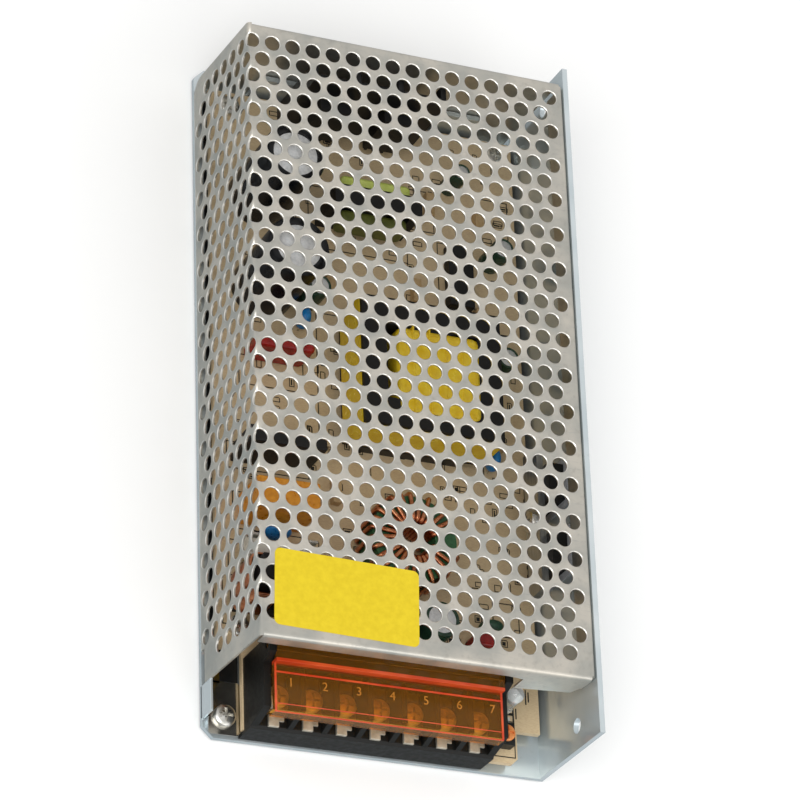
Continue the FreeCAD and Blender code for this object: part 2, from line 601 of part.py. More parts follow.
# Amber cover over the terminals: stepped plate, front skirt, rear barrel and two pivots
def make_terminal_cover():
    body = body_of("terminal_cover")
    front = block_front + " + flap_overhang"
    low = block_top + " + flap_rise"
    step_y = block_front + " + flap_step_setback"
    left = block_left + " + end_wall + flap_play"
    width = block_length + " - 2 * end_wall - 2 * flap_play"
    profile = outline(body, "flap_profile", "YZ_Plane", [
        (front, low + " + flap_sheet"), (front, low + " - flap_skirt"),
        (front + " + 1.0", low + " - flap_skirt"), (front + " + 1.0", low),
        (step_y + " + flap_sheet", low), (step_y + " + flap_sheet", low + " + flap_step"),
        (pivot_y, low + " + flap_step"), (pivot_y, low + " + flap_step + flap_sheet"),
        (step_y, low + " + flap_step + flap_sheet"), (step_y, low + " + flap_sheet")], offset=left)
    pad(body, profile, width)
    barrel = circles(body, "barrel_circle", "YZ_Plane", [(pivot_y, pivot_z)], "barrel_radius", offset=left)
    pad(body, barrel, width)
    pivots = circles(body, "pivot_circle", "YZ_Plane", [(pivot_y, pivot_z)], "pivot_radius",
                     offset=left + " - flap_play - end_wall + 0.2")
    pad(body, pivots, width + " + 2 * (flap_play + end_wall - 0.2)")


# Clear lamp beside the terminals
def make_indicator_led():
    node(prism("indicator_led", 24, "lamp_radius", "lamp_height", wall_inner + " - lamp_side_inset",
               "lamp_front_inset - case_length / 2", board_top), "indicator_led")


# Output adjuster: square body with a turning slotted rotor
def make_trimmer():
    x, y = wall_inner + " - trimmer_side_inset", "trimmer_front_inset - case_length / 2"
    top = board_top + " + trimmer_height"
    bore_depth = "(rotor_pin_length + rotor_bore_spare)"
    body = box("trimmer_block", "trimmer_side", "trimmer_side", "trimmer_height", x, y, board_top)
    bore = rod("trimmer_bore", "rotor_pin + rotor_play", bore_depth, x, y, top + " - " + bore_depth)
    node(less("trimmer_body", body, bore), "trimmer_body")
    disc = prism("rotor_disc", 32, "rotor_radius", "rotor_height", x, y, top + " + rotor_play")
    pin = rod("rotor_stem", "rotor_pin", "rotor_pin_length + rotor_play", x, y, top + " - rotor_pin_length")
    slot = box("rotor_slot_cut", "3 * rotor_radius", "rotor_slot", "rotor_height", x, y,
               top + " + rotor_play + rotor_height - rotor_slot_depth")
    node(less("trimmer_rotor", joined("rotor_solid", disc, pin), slot), "trimmer_rotor")


def bought_box(name, x, y, z):
    """A block whose length, depth and height are the three sizes that carry its name."""
    return box(name, name + "_length * shrink", name + "_depth * shrink", name + "_height * squeeze",
               x, y, z)


# Mains fuse between two spring clips
def make_fuse():
    x, y = board_place("fuse")
    tube = rod("fuse_barrel", "fuse_radius * shrink", "fuse_length * shrink",
               x + " - fuse_length / 2 * shrink", y, board_top + " + fuse_rise * shrink", Vector(1, 0, 0))
    node(tube, "fuse_tube")
    clips = []
    for name, sign in (("left", "-"), ("right", "+")):
        at = "%s %s clip_reach * shrink" % (x, sign)
        outer = box(name + "_clip_outer", "clip_length * shrink", "clip_width * shrink",
                    "clip_height * shrink", at, y, board_top)
        inner = box(name + "_clip_inner", "2 * clip_length * shrink",
                    "(clip_width - 2 * clip_sheet) * shrink", "clip_height * shrink",
                    at, y, board_top + " + clip_sheet * shrink")
        clips.append(less(name + "_fuse_clip", outer, inner))
    group("fuse_clips", clips)


# Boxed film capacitors, and the discs: three capacitors and the inrush thermistor
def make_mains_capacitors():
    for name in ("x_capacitor", "film_capacitor"):
        x, y = board_place(name)
        node(bought_box(name, x, y, board_top), name)
    discs = []
    for name, kind, toward in (("rear_disc", "disc", Vector(1, 0, 0)),
                               ("front_disc", "disc", Vector(0, 1, 0)),
                               ("right_disc", "disc", Vector(1, 0, 0)),
                               ("thermistor", "thermistor", Vector(1, 0, 0))):
        x, y = board_place(name)
        half = " - %s_sheet / 2 * shrink" % kind
        discs.append(rod(name, kind + "_radius * shrink", kind + "_sheet * shrink",
                         x + half * int(toward.x), y + half * int(toward.y),
                         "%s + %s_rise * shrink" % (board_top, kind), toward))
    group("disc_components", discs)


# Line filter choke: closed rectangular core with two coils
def make_line_choke():
    x, y = board_place("line_core")
    ring = bought_box("line_core", x, y, board_top)
    window = box("line_window", "(line_core_length - 2 * line_leg) * shrink", "2 * line_core_depth * shrink",
                 "(line_core_height - 2 * line_leg) * squeeze", x, y, board_top + " + line_leg * squeeze")
    node(less("line_choke_core", ring, window), "line_choke_core")
    coils = []
    for name, sign in (("left", "-"), ("right", "+")):
        at = "%s %s (line_core_length - line_leg) / 2 * shrink" % (x, sign)
        outer = box(name + "_line_coil", "line_coil_length * shrink", "line_coil_depth * shrink",
                    "line_coil_height * squeeze", at, y, board_top + " + line_coil_lift * squeeze")
        inner = box(name + "_line_bore", "(line_leg + 2 * coil_play) * shrink",
                    "(line_core_depth + 2 * coil_play) * shrink", "2 * line_coil_height * squeeze",
                    at, y, board_top)
        coils.append(less(name + "_line_winding", outer, inner))
    group("line_choke_coils", coils)


# Mains smoothing capacitors and rectifier
def make_bulk_parts():
    cans = []
    for name in ("bulk_rear", "bulk_front"):
        x, y = board_place(name)
        cans.append(rod(name, "bulk_radius * shrink", "bulk_height * squeeze", x, y, board_top))
    group("bulk_capacitors", cans)
    x, y = board_place("bridge")
    node(bought_box("bridge", x, y, board_top + " + bridge_lift"), "bridge_rectifier")


# Black heatsink along the back of the board with the two switching transistors in front of it
def make_rear_heatsink():
    body = body_of("rear_heatsink")
    x = "heatsink_x * across"
    back = "(%s - chassis_sheet - board_gap - heatsink_inset)" % cover_back_inner
    front, web = back + " - heatsink_depth", back + " - heatsink_depth + heatsink_web"
    left = x + " - heatsink_length / 2 * shrink"
    corners = [(left, front), (x + " + heatsink_length / 2 * shrink", front)]
    last = 3
    for k in reversed(range(last + 1)):
        fin_left = "%s + %d / %d * (heatsink_length * shrink - heatsink_fin)" % (left, k, last)
        fin_right = fin_left + " + heatsink_fin"
        if k < last:
            corners.append((fin_right, web))
        corners += [(fin_right, back), (fin_left, back)]
        if k > 0:
            corners.append((fin_left, web))
    comb = outline(body, "comb_outline", "XY_Plane", corners, offset=board_top)
    pad(body, comb, "heatsink_height * squeeze")
    sets = []
    for name in ("left", "right"):
        x, y = name + "_switch_x * across", front + " - switch_depth / 2 * shrink"
        pieces = [box(name + "_switch", "switch_length * shrink", "switch_depth * shrink",
                      "switch_height * squeeze", x, y, board_top + " + switch_lift * squeeze")]
        for k in (-1, 0, 1):
            pieces.append(box("%s_switch_leg_%d" % (name, k + 1), "leg_width * shrink",
                              "leg_sheet * shrink", "switch_lift * squeeze",
                              "%s + %d * leg_pitch * shrink" % (x, k), y, board_top))
        sets.append(joined(name + "_switch_set", *pieces))
    group("switching_transistors", sets)


# Driver transformer: small core bar over a taped coil
def make_driver_transformer():
    x, y = board_place("driver")
    frame = bought_box("driver", x, y, board_top)
    side = "(driver_window_length - driver_leg) / 2 * shrink"
    windows = [box("driver_window_%d" % k, side, "2 * driver_depth * shrink",
                   "driver_window_height * squeeze",
                   "%s %s (driver_window_length + driver_leg) / 4 * shrink" % (x, sign), y,
                   board_top + " + driver_sill * squeeze") for k, sign in enumerate(("-", "+"))]
    node(less("driver_transformer_core", frame, *windows), "driver_transformer_core")
    outer = bought_box("driver_coil", x, y, board_top + " + driver_sill * squeeze + coil_play")
    tunnel = box("driver_coil_tunnel", "(driver_leg + 2 * coil_play) * shrink",
                 "(driver_depth + 2 * coil_play) * shrink", "3 * driver_coil_height", x, y, board_top)
    node(less("driver_transformer_coil", outer, tunnel), "driver_transformer_coil")


# Main transformer: flat core frame with a middle leg, winding, tape band and bobbin rails
def make_main_transformer():
    x, y = board_place("core")
    core_z = board_top + " + bobbin_height * squeeze"
    middle = core_z + " + core_height / 2 * squeeze"
    frame = bought_box("core", x, y, core_z)
    side = "(window_length - leg_side) / 2 * shrink"
    windows = [box("core_window_%d" % k, side, "window_depth * shrink", "2 * core_height",
                   "%s %s (window_length + leg_side) / 4 * shrink" % (x, sign), y, board_top)
               for k, sign in enumerate(("-", "+"))]
    node(less("main_transformer_core", frame, *windows), "main_transformer_core")
    outer = box("winding_outer", "window_length * shrink - 2 * winding_gap",
                "window_depth * shrink - 2 * winding_gap", "winding_height * squeeze",
                x, y, middle + " - winding_height / 2 * squeeze")
    tunnel_height = "(core_height * squeeze + 2 * winding_gap)"
    tunnel = box("winding_tunnel", "leg_side * shrink + 2 * winding_gap", "2 * window_depth", tunnel_height,
                 x, y, middle + " - " + tunnel_height + " / 2")
    node(less("main_transformer_winding", outer, tunnel), "main_transformer_winding")
    band_outer = box("tape_outer", "core_length * shrink + 2 * tape_sheet",
                     "core_depth * shrink + 2 * tape_sheet", "tape_height * squeeze",
                     x, y, middle + " - tape_height / 2 * squeeze")
    band_inner = box("tape_inner", "core_length * shrink", "core_depth * shrink", "3 * tape_height",
                     x, y, board_top)
    node(less("main_transformer_tape", band_outer, band_inner), "main_transformer_tape")
    rails = [box("bobbin_rail_%d" % k, "rail_length * shrink", "rail_depth * shrink",
                 "bobbin_height * squeeze", x,
                 "%s %s (core_depth - rail_depth) / 2 * shrink" % (y, sign), board_top)
             for k, sign in enumerate(("-", "+"))]
    group("main_transformer_bobbin", rails)


# Output choke: powder core ring with heavy turns
def make_output_choke():
    x, y = board_place("choke")
    shrink = size("shrink")
    lift = board_top + " + (choke_wire + choke_gap) * shrink"
    outer = prism("choke_ring_outer", 40, "choke_outer * shrink", "choke_height * shrink", x, y, lift)
    inner = prism("choke_ring_inner", 24, "choke_inner * shrink", "3 * choke_height", x, y, board_top)
    ring = node(less("output_choke_core", outer, inner), "output_choke_core")
    doc.recompute()
    wire, gap = size("choke_wire") * shrink, size("choke_gap") * shrink
    low, high = size("choke_inner") * shrink - gap - wire, size("choke_outer") * shrink + gap + wire
    height = size("choke_height") * shrink + 2 * (gap + wire)
    centre = Vector(ring.Shape.BoundBox.Center.x, ring.Shape.BoundBox.Center.y,
                    ring.Shape.BoundBox.ZMin - wire - gap)
    turn_count = int(size("choke_turns"))
    turns = []
    for k in range(turn_count):
        loop = Part.makeBox(high - low, wire, height, Vector(low, -wire / 2, 0))
        loop = loop.cut(Part.makeBox(high - low - 2 * wire, 2 * wire, height - 2 * wire,
                                     Vector(low + wire, -wire, wire)))
        loop.rotate(Vector(0, 0, 0), Vector(0, 0, 1), k * size("choke_wound_angle") / turn_count - 60)
        loop.translate(centre)
        turns.append(loop)
    winding = doc.addObject("Part::Feature", "output_choke_winding")
    winding.Shape = Part.makeCompound(turns)
    node(winding, "output_choke_winding")


# Output and auxiliary electrolytic capacitors
def make_electrolytic_capacitors():
    cans = []
    for name, kind in (("left_output", "output"), ("middle_output", "output"), ("right_output", "output"),
                       ("lamp_supply", "supply"), ("back_supply", "small"), ("right_back_supply", "supply"),
                       ("right_supply", "supply"), ("left_supply", "supply")):
        x, y = board_place(name)
        cans.append(rod(name + "_can", kind + "_can_radius * shrink", kind + "_can_height * squeeze",
                        x, y, board_top))
    group("electrolytic_capacitors", cans)


# Rectifiers clamped to the right wall through insulating pads
def make_output_rectifiers():
    pad_z = "(" + board_top + " + pad_lift)"
    device_height = "(case_height - side_flange_drop - device_flange_gap - device_margin - %s)" % pad_z
    clamp_y = board_place("clamp")[1]
    device_x = wall_inner + " - pad_sheet - device_sheet / 2"
    pads, devices = [], []
    for name, sign in (("rear", "+"), ("front", "-")):
        y = "%s %s device_spacing / 2 * shrink" % (clamp_y, sign)
        pads.append(box(name + "_pad", "pad_sheet", "pad_length * shrink",
                        device_height + " + 2 * device_margin", wall_inner + " - pad_sheet / 2", y, pad_z))
        pieces = [box(name + "_rectifier", "device_sheet", "device_length * shrink", device_height,
                      device_x, y, pad_z + " + device_margin")]
        for k in (-1, 0, 1):
            pieces.append(box("%s_rectifier_leg_%d" % (name, k + 1), "leg_sheet", "leg_width * shrink",
                              "pad_lift + device_margin", device_x,
                              "%s + %d * leg_pitch * shrink" % (y, k), board_top))
        devices.append(joined(name + "_rectifier_set", *pieces))
    group("insulator_pads", pads)
    group("output_rectifiers", devices)
    bar = box("clamp_bar", "clamp_bar_sheet", "clamp_bar_length * shrink", "clamp_bar_height",
              clamp_face + " + clamp_bar_sheet / 2", clamp_y, clamp_z + " - clamp_bar_height / 2")
    node(bar, "clamp_bar")


# Control chip and the lying resistors round it
def make_control_parts():
    x, y = board_place("chip")
    case = bought_box("chip", x, y, board_top + " + chip_lift")
    legs = [box("chip_legs_%d" % k, "leg_sheet * shrink", "(chip_depth - chip_lift) * shrink",
                "chip_height / 2 * squeeze + chip_lift", "%s %s chip_leg_reach * shrink" % (x, sign),
                y, board_top) for k, sign in enumerate(("-", "+"))]
    node(joined("control_chip", case, *legs), "control_chip")
    resistors = []
    for letter in "abcdefg":
        x, y = board_place("resistor_" + letter)
        resistors.append(box("lying_resistor_" + letter, "resistor_side * shrink",
                             "resistor_length * shrink", "resistor_side * shrink",
                             x, y, board_top + " + resistor_lift"))
    group("resistors", resistors)


make_base_chassis()
make_perforated_cover()
make_cover_label()
make_cover_screws()
make_insulating_sheet()
make_circuit_board()
make_board_fixings()
make_terminal_block()
make_terminal_metal()
make_terminal_cover()
make_indicator_led()
make_trimmer()
make_fuse()
make_mains_capacitors()
make_line_choke()
make_bulk_parts()
make_rear_heatsink()
make_driver_transformer()
make_main_transformer()
make_output_choke()
make_electrolytic_capacitors()
make_output_rectifiers()
make_control_parts()
doc.recompute()

for item in doc.Objects:
    if "Invalid" in item.State or "Error" in item.State:
        raise RuntimeError("%s failed: %s" % (item.Name, item.State))

os.makedirs("parts", exist_ok=True)
for item in nodes:
    if item.Shape.isNull() or not item.Shape.isValid():
        raise RuntimeError("%s has no valid shape" % item.Label)
    item.Shape.exportStep("parts/%s.step" % item.Label)
    reach = item.Shape.BoundBox
    print("%-26s solids %2d volume %9.1f  x %6.1f..%5.1f  y %6.1f..%5.1f  z %5.1f..%4.1f" % (
        item.Label, len(item.Shape.Solids), item.Shape.Volume,
        reach.XMin, reach.XMax, reach.YMin, reach.YMax, reach.ZMin, reach.ZMax))
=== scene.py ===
# Enclosed power supply for LED lighting: the looks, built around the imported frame.
# All sizes below are millimetres in the part's own frame: X right, Y to the back, Z up.
import math
import random

import bpy
from mathutils import Matrix, Vector, geometry, kdtree


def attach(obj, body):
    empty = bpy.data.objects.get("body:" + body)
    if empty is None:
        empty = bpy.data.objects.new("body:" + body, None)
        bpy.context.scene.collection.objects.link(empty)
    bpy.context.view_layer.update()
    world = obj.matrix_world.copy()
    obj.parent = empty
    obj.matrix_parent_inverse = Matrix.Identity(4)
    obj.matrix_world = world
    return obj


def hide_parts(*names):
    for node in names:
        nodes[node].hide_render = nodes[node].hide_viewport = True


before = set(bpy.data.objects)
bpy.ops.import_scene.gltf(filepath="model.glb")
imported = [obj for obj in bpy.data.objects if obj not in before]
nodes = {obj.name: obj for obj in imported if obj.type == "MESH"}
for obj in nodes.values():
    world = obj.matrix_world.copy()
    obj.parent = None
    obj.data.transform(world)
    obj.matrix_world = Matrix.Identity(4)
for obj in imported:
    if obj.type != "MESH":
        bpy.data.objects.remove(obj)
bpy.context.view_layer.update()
print("frame loaded:", len(nodes), "nodes")

random.seed(7)
caseBody, flapBody, adjusterBody = "case", "flap", "adjuster"


# Colours and nodes

def toLinear(hexColour):
    # sRGB hex to the linear values that the shaders work in
    values = [int(hexColour[i:i + 2], 16) / 255 for i in (0, 2, 4)]
    return tuple(v / 12.92 if v <= 0.04045 else ((v + 0.055) / 1.055) ** 2.4 for v in values) + (1.0,)


def perMm(size):
    # texture scale for a feature of that many millimetres, in object coordinates of metres
    return 1000.0 / size


def addNode(material, kind, inputs=None, **settings):
    # adds a shader node; an input is a value, or the output socket that feeds it
    node = material.node_tree.nodes.new("ShaderNode" + kind)
    for name, value in settings.items():
        setattr(node, name, value)
    for name, value in (inputs or {}).items():
        if isinstance(value, bpy.types.NodeSocket):
            material.node_tree.links.new(value, node.inputs[name])
        else:
            node.inputs[name].default_value = value
    return node


def newMaterial(name, **values):
    # a Principled material whose named sockets are set once, straight on the shader
    material = bpy.data.materials.new(name)
    material.use_nodes = True
    shader = material.node_tree.nodes["Principled BSDF"]
    for socket, value in values.items():
        shader.inputs[socket.replace("_", " ")].default_value = value
    return material, shader


def feed(material, shader, **sockets):
    for name, output in sockets.items():
        material.node_tree.links.new(output, shader.inputs[name.replace("_", " ")])


# Materials

def makeFinish(name, base, patterns, layers=(), gloss=(), relief=(), **values):
    # patterns are noises: size in mm, detail, stretch, roughness; each layer lays a colour over the base:
    # its pattern, the values between which it fades in, how much, colour;
    # gloss is a pattern with the roughness from and to; relief a pattern with its depth in mm and strength
    material, shader = newMaterial(name, **values)
    point = addNode(material, "TexCoord").outputs["Object"]
    fields = {}
    for key, (size, detail, stretch, roughness) in patterns.items():
        place = addNode(material, "Mapping", {"Vector": point, "Scale": stretch}).outputs["Vector"]
        fields[key] = addNode(material, "TexNoise", {
            "Vector": place, "Scale": perMm(size), "Detail": detail, "Roughness": roughness}).outputs["Fac"]
    tone = toLinear(base)
    for key, low, high, amount, colour in layers:
        share = addNode(material, "MapRange", {
            "Value": fields[key], "From Min": low, "From Max": high, "To Max": amount}).outputs["Result"]
        tone = addNode(material, "Mix", {0: share, 6: tone, 7: toLinear(colour)}, data_type="RGBA").outputs[2]
    if layers:
        feed(material, shader, Base_Color=tone)
    else:
        shader.inputs["Base Color"].default_value = tone
    if gloss:
        key, low, high = gloss
        fade = addNode(material, "MapRange", {
            "Value": fields[key], "From Min": 0.3, "From Max": 0.7, "To Min": low, "To Max": high})
        feed(material, shader, Roughness=fade.outputs["Result"])
    if relief:
        key, depth, strength = relief
        bump = addNode(material, "Bump", {
            "Height": fields[key], "Distance": depth / 1000, "Strength": strength})
        feed(material, shader, Normal=bump.outputs["Normal"])
    return material


def makeGrained(name, dark, light, grain, detail=3.0, stretch=(1, 1, 1), span=(0.3, 0.7), gloss=(),
                relief=(), **values):
    # one pattern, grain in mm, for the colour and, where they are given, the gloss and the relief;
    # a real grain that is too fine to show is drawn at half a millimetre or more
    return makeFinish(name, dark, {"grain": (grain, detail, stretch, 0.5)}, [("grain", *span, 1.0, light)],
                      ("grain", *gloss) if gloss else (), ("grain", *relief) if relief else (), **values)


def makePlainMetal(name, dark, light, roughness, grain, stretch=(1, 1, 1), metallic=1.0):
    # turned, stamped or drawn metal: tone and gloss drift a little with the grain
    return makeGrained(name, dark, light, grain, 3.0, stretch, gloss=(roughness * 0.8, roughness * 1.25),
                       relief=(0.01, 0.3), Metallic=metallic)


def makeMoulding(name, dark, light, roughness, grain=1.2, depth=0.01, ior=1.5):
    # moulded or dipped polymer: even colour, a soft broken gloss from the tool's surface
    return makeGrained(name, dark, light, grain, gloss=(roughness * 0.85, roughness * 1.2),
                       relief=(depth, 0.4), IOR=ior)


def makeClear(name, colour, size, depth, strength, **values):
    # clear moulding of one colour, with shallow ripples of that many millimetres
    return makeFinish(name, colour, {"ripples": (size, 1.0, (1, 1, 1), 0.5)},
                      relief=("ripples", depth, strength), **values)


# Grained: name, darker and lighter colour, grain in mm, detail; plain metals: name, colours, roughness, grain
material = {
    # bright zinc on cold-rolled steel: pale warm grey, blurred reflections, soft clouding from the bath
    "sheet": makeFinish(
        "brightZincSheet", "BFBEB6",
        {"clouds": (9.0, 3.0, (1, 1, 1), 0.5), "specks": (1.6, 2.0, (1, 1, 1), 0.5),
         "scratches": (1.5, 4.0, (0.4, 2.5, 1.0), 0.65)},
        [("clouds", 0.35, 0.65, 1.0, "DAD4C8"), ("specks", 0.55, 0.75, 0.35, "AFAAA0"),
         ("scratches", 0.58, 0.78, 0.3, "94999A")],
        ("clouds", 0.30, 0.40), ("specks", 0.008, 0.25), Metallic=0.85),
    # blue-passivated zinc on steel: a pale grey-blue cast, a little glossier than the cover, fine scratches
    "chassis": makeFinish(
        "bluePassivatedSheet", "CBD6DA",
        {"clouds": (16.0, 2.0, (1, 1, 1), 0.5), "scratches": (1.2, 4.0, (0.5, 0.5, 3.0), 0.7)},
        [("clouds", 0.3, 0.7, 1.0, "E0E8EA"), ("scratches", 0.6, 0.8, 0.3, "9FA39F")],
        ("scratches", 0.12, 0.2), ("scratches", 0.006, 0.2), Metallic=0.58),
    # the edge that the punch draws round each hole: the same zinc, burnished and smoother, and paler as a
    # painted highlight so it glints
    "rim": makeGrained("zincRimPaintedHighlight", "DAD7CF", "F0EEE8", 3.0, 2.0, Metallic=0.85, Roughness=0.33),
    # the same zinc where it is drawn flat and bright: it mirrors the black block beside it
    "foot": makeGrained("drawnZincSheet", "B5B2A9", "D0CDC5", 5.0, span=(0.35, 0.7), gloss=(0.07, 0.16),
                        Metallic=1.0),
    # injection-moulded amber polycarbonate: clear, glossy, brown-orange where it is looked through;
    # its index is set low, as the two faces of the thin sheet would otherwise mirror the pale sky
    "amber": makeClear("amberPolycarbonate", "F5B44E", 7.0, 0.05, 0.12,
                       IOR=1.22, Transmission_Weight=0.93, Roughness=0.04),
    # ridges and cut edges of the same moulding, orange-red; a faint emission paints the glow of the light
    # that it pipes out
    "paintedGlowAmber": makeGrained("amberPolycarbonatePaintedGlow", "BE3A18", "DC5A2C", 9.0, 2.0, (1.0, 3.0, 3.0),
                             (0.35, 0.7), IOR=1.58, Roughness=0.24, Emission_Strength=0.03,
                             Emission_Color=toLinear("FF4A0C")),
    # clear epoxy lamp body, cast: bright, watery, slightly green
    "lamp": makeClear("clearEpoxyLamp", "FBFFFD", 3.0, 0.02, 0.2,
                      IOR=1.45, Transmission_Weight=0.82, Roughness=0.03),
    # printed vinyl: saturated yellow, satin, with the faint orange peel of an adhesive film
    "label": makeGrained("yellowVinylFilm", "D6BB18", "DFC520", 1.5, 2.0, relief=(0.01, 0.3),
                         IOR=1.4, Roughness=0.4),
    # pressed paper-phenolic laminate: beige, satin, with faint fibres along its length
    "board": makeGrained("paperPhenolicBoard", "D2B892", "E0CAA2", 0.8, 4.0, (1.0, 3.0, 1.0),
                         relief=(0.01, 0.3), IOR=1.5, Roughness=0.42),
    # enamelled copper wire: reddish metal under a clear amber enamel
    "copper": makeGrained("enamelledCopper", "B8623A", "E09A6C", 1.6, 2.0, Metallic=1.0, Roughness=0.28,
                          Coat_Weight=0.6, Coat_Roughness=0.12),
    # nickel on steel, turned and polished: crisp highlights
    "screw": makePlainMetal("nickelPlatedSteel", "C2C0B8", "E4E2DC", 0.3, 1.0),
    # matt tin on brass, stamped: warmer and much duller than the screws
    "contact": makePlainMetal("mattTinnedBrass", "B4AD9C", "D4CDBD", 0.45, 1.5, metallic=0.5),
    # yellow-passivated steel clamp plates: brownish and dull in their bays; on the flats of the contact
    # strips this darker finish is painted shade
    "clamp": makePlainMetal("passivatedClampAndPaintedShade", "5E5240", "7E7058", 0.5, 1.2, metallic=0.7),
    # etched aluminium of the capacitor cans: pale and soft
    "can": makePlainMetal("etchedAluminium", "DCDEDF", "F4F4F4", 0.36, 0.8, metallic=0.55),
    # silvered reflector cup of the lamp: almost white
    "cup": makePlainMetal("silveredCup", "E8E8E8", "FAFAFA", 0.2, 0.8, metallic=0.6),
    # extruded aluminium clamp bar: grey, with fine lines along the draw
    "bar": makePlainMetal("extrudedAluminium", "A9ADAF", "CBCED0", 0.35, 1.2, (3, 0.3, 3)),
    # tinned copper leads and clips: bright, soft grey
    "lead": makePlainMetal("tinnedCopperLead", "B8B6B0", "D9D7D2", 0.25, 1.0),
}

# Moulded, dipped, wound and printed polymers, in the same order, then relief in mm and IOR
mouldings = {
    # moulded digits, a little paler than the amber that they stand on
    "amberDigit": ("amberPolycarbonateDigit", "A8681C", "C07E2A", 0.25, 1.5),
    # compression-moulded phenolic block: near black, low sheen
    "block": ("blackPhenolicMoulding", "0B0B09", "141411", 0.5, 1.5, 0.01, 1.4),
    # heat-shrunk polyester sleeves: smooth and taut, with a clear gloss
    "sleeve": ("blackPolyesterSleeve", "0A0B0E", "14161A", 0.28, 4.0, 0.01, 1.4),
    "greenSleeve": ("greenPolyesterSleeve", "21392B", "2F4C3A", 0.25, 4.0),
    # transfer-moulded epoxy packages: charcoal and matt
    "epoxy": ("blackEpoxyPackage", "0B0B0B", "181818", 0.5, 0.6),
    # pressed and sintered ferrite: dry, dark grey, a little gritty
    "ferrite": ("sinteredFerrite", "0E0E0E", "1A1918", 0.6, 0.5, 0.02, 1.45),
    # painted iron-powder ring: satin green
    "powderCore": ("greenPaintedPowderCore", "2D5A38", "3F7449", 0.4, 0.8),
    # wound polyester tapes: glossy, with shallow waves over the wire below
    "tape": ("yellowPolyesterTape", "EEC41E", "FCDC3A", 0.24, 2.5, 0.03),
    "paleTape": ("paleGreenTape", "C4D45C", "DEEA80", 0.28, 2.5, 0.03),
    # the same pale green tape with painted shade, for the shaded front of the driver coil
    "greenTapePaintedShade": ("greenTapePaintedShade", "4E5420", "6A7030", 0.4, 2.5, 0.03),
    # moulded and dipped film capacitors: even colour, soft gloss
    "filmBox": ("orangePolypropyleneBox", "D9861C", "F0A431", 0.3, 1.5),
    "redBox": ("redFilmCapacitor", "801412", "A8201A", 0.22, 2.0),
    # dipped ceramic discs: a thick, slightly lumpy skin
    "blueDisc": ("bluePhenolicDip", "0C66A8", "1C86CC", 0.3, 1.0, 0.03),
    "greenDisc": ("darkGreenCeramicDip", "20402E", "2E5A40", 0.35, 1.0, 0.03),
    # glazed ceramic fuse tube: off-white and glassy
    "ceramic": ("glazedCeramicTube", "D8D5C8", "ECE9DE", 0.25, 2.0),
    # calendered polyester film: black and smooth
    "film": ("blackPolyesterFilm", "0E0F10", "191B1D", 0.3, 5.0),
    # injection-moulded nylon: soft black
    "bobbin": ("blackNylonBobbin", "151514", "22221F", 0.4, 1.2),
    # black anodised aluminium of the heatsink: dark, silky
    "anodised": ("blackAnodisedAluminium", "0E0E10", "1B1B1E", 0.38, 0.9),
    # silicone pads: grey, rubbery, matt
    "pad": ("greySiliconePad", "9C9EA2", "B4B6BA", 0.6, 0.7),
    # lacquered resistors: tan, satin
    "resistor": ("tanLacqueredResistor", "B79565", "CDB084", 0.35, 1.0),
    # moulded adjuster: black thermoset housing, bright orange nylon rotor
    "trimmerBlack": ("blackThermoset", "0E0E0E", "191918", 0.4, 1.0),
    "rotorOrange": ("orangeNylonRotor", "E8843C", "F6A662", 0.4, 0.8),
    # screen inks on the board: flat and matt
    "whiteInk": ("whiteScreenInk", "D4D2C8", "E4E2DA", 0.5, 1.0),
    "ink": ("blackScreenInk", "0E0E0C", "1A1916", 0.5, 1.0),
}
for key, values in mouldings.items():
    material[key] = makeMoulding(*values)
print("materials:", len(material))


def standing(name, data):
    thing = bpy.data.objects.new(name, data)
    bpy.context.scene.collection.objects.link(thing)
    return thing


# Shapes: each is a pair of lists, corner points in millimetres and faces

def polar(radius, degrees):
    return radius * math.cos(math.radians(degrees)), radius * math.sin(math.radians(degrees))


def circle(radius, steps, shift=0.0):
    # points round the origin, the first of them shift steps past the x axis
    return [(radius * math.cos(2 * math.pi * (k + shift) / steps),
             radius * math.sin(2 * math.pi * (k + shift) / steps)) for k in range(steps)]


def inside(point, outline):
    within = False
    count = len(outline)
    for k in range(count):
        (x0, y0), (x1, y1) = outline[k], outline[(k + 1) % count]
        if (y0 > point[1]) != (y1 > point[1]) and point[0] < (x1 - x0) * (point[1] - y0) / (y1 - y0) + x0:
            within = not within
    return within


def slab(x0, x1, y0, y1, z0, z1):
    points = [(x, y, z) for z in (z0, z1) for y in (y0, y1) for x in (x0, x1)]
    return points, [(0, 2, 3, 1), (4, 5, 7, 6), (0, 1, 5, 4), (2, 6, 7, 3), (0, 4, 6, 2), (1, 3, 7, 5)]


def extruded(profile, axis, low, high):
    # profile is a closed outline in the two other axes, in the order of their names
    count = len(profile)
    points = []
    for level in (low, high):
        for a, b in profile:
            points.append({"x": (level, a, b), "y": (a, level, b), "z": (a, b, level)}[axis])
    faces = [(k, (k + 1) % count, (k + 1) % count + count, k + count) for k in range(count)]
    return points, faces + [tuple(reversed(range(count))), tuple(range(count, 2 * count))]


def turned(profile, centre, axis="z", steps=40):
    # profile is (radius, height) from one end to the other; a radius of 0 closes the end
    points, faces, rings = [], [], []
    for radius, height in profile:
        if radius == 0:
            rings.append([len(points)])
            points.append((0, 0, height))
            continue
        rings.append(list(range(len(points), len(points) + steps)))
        points += [(x, y, height) for x, y in circle(radius, steps)]
    for lower, upper in zip(rings, rings[1:]):
        for k in range(steps):
            n = (k + 1) % steps
            if len(lower) == 1:
                faces.append((lower[0], upper[n], upper[k]))
            elif len(upper) == 1:
                faces.append((lower[k], lower[n], upper[0]))
            else:
                faces.append((lower[k], lower[n], upper[n], upper[k]))
    order = {"x": (2, 0, 1), "y": (1, 2, 0), "z": (0, 1, 2)}[axis]
    points = [tuple(p[order[i]] + centre[i] for i in range(3)) for p in points]
    return points, faces


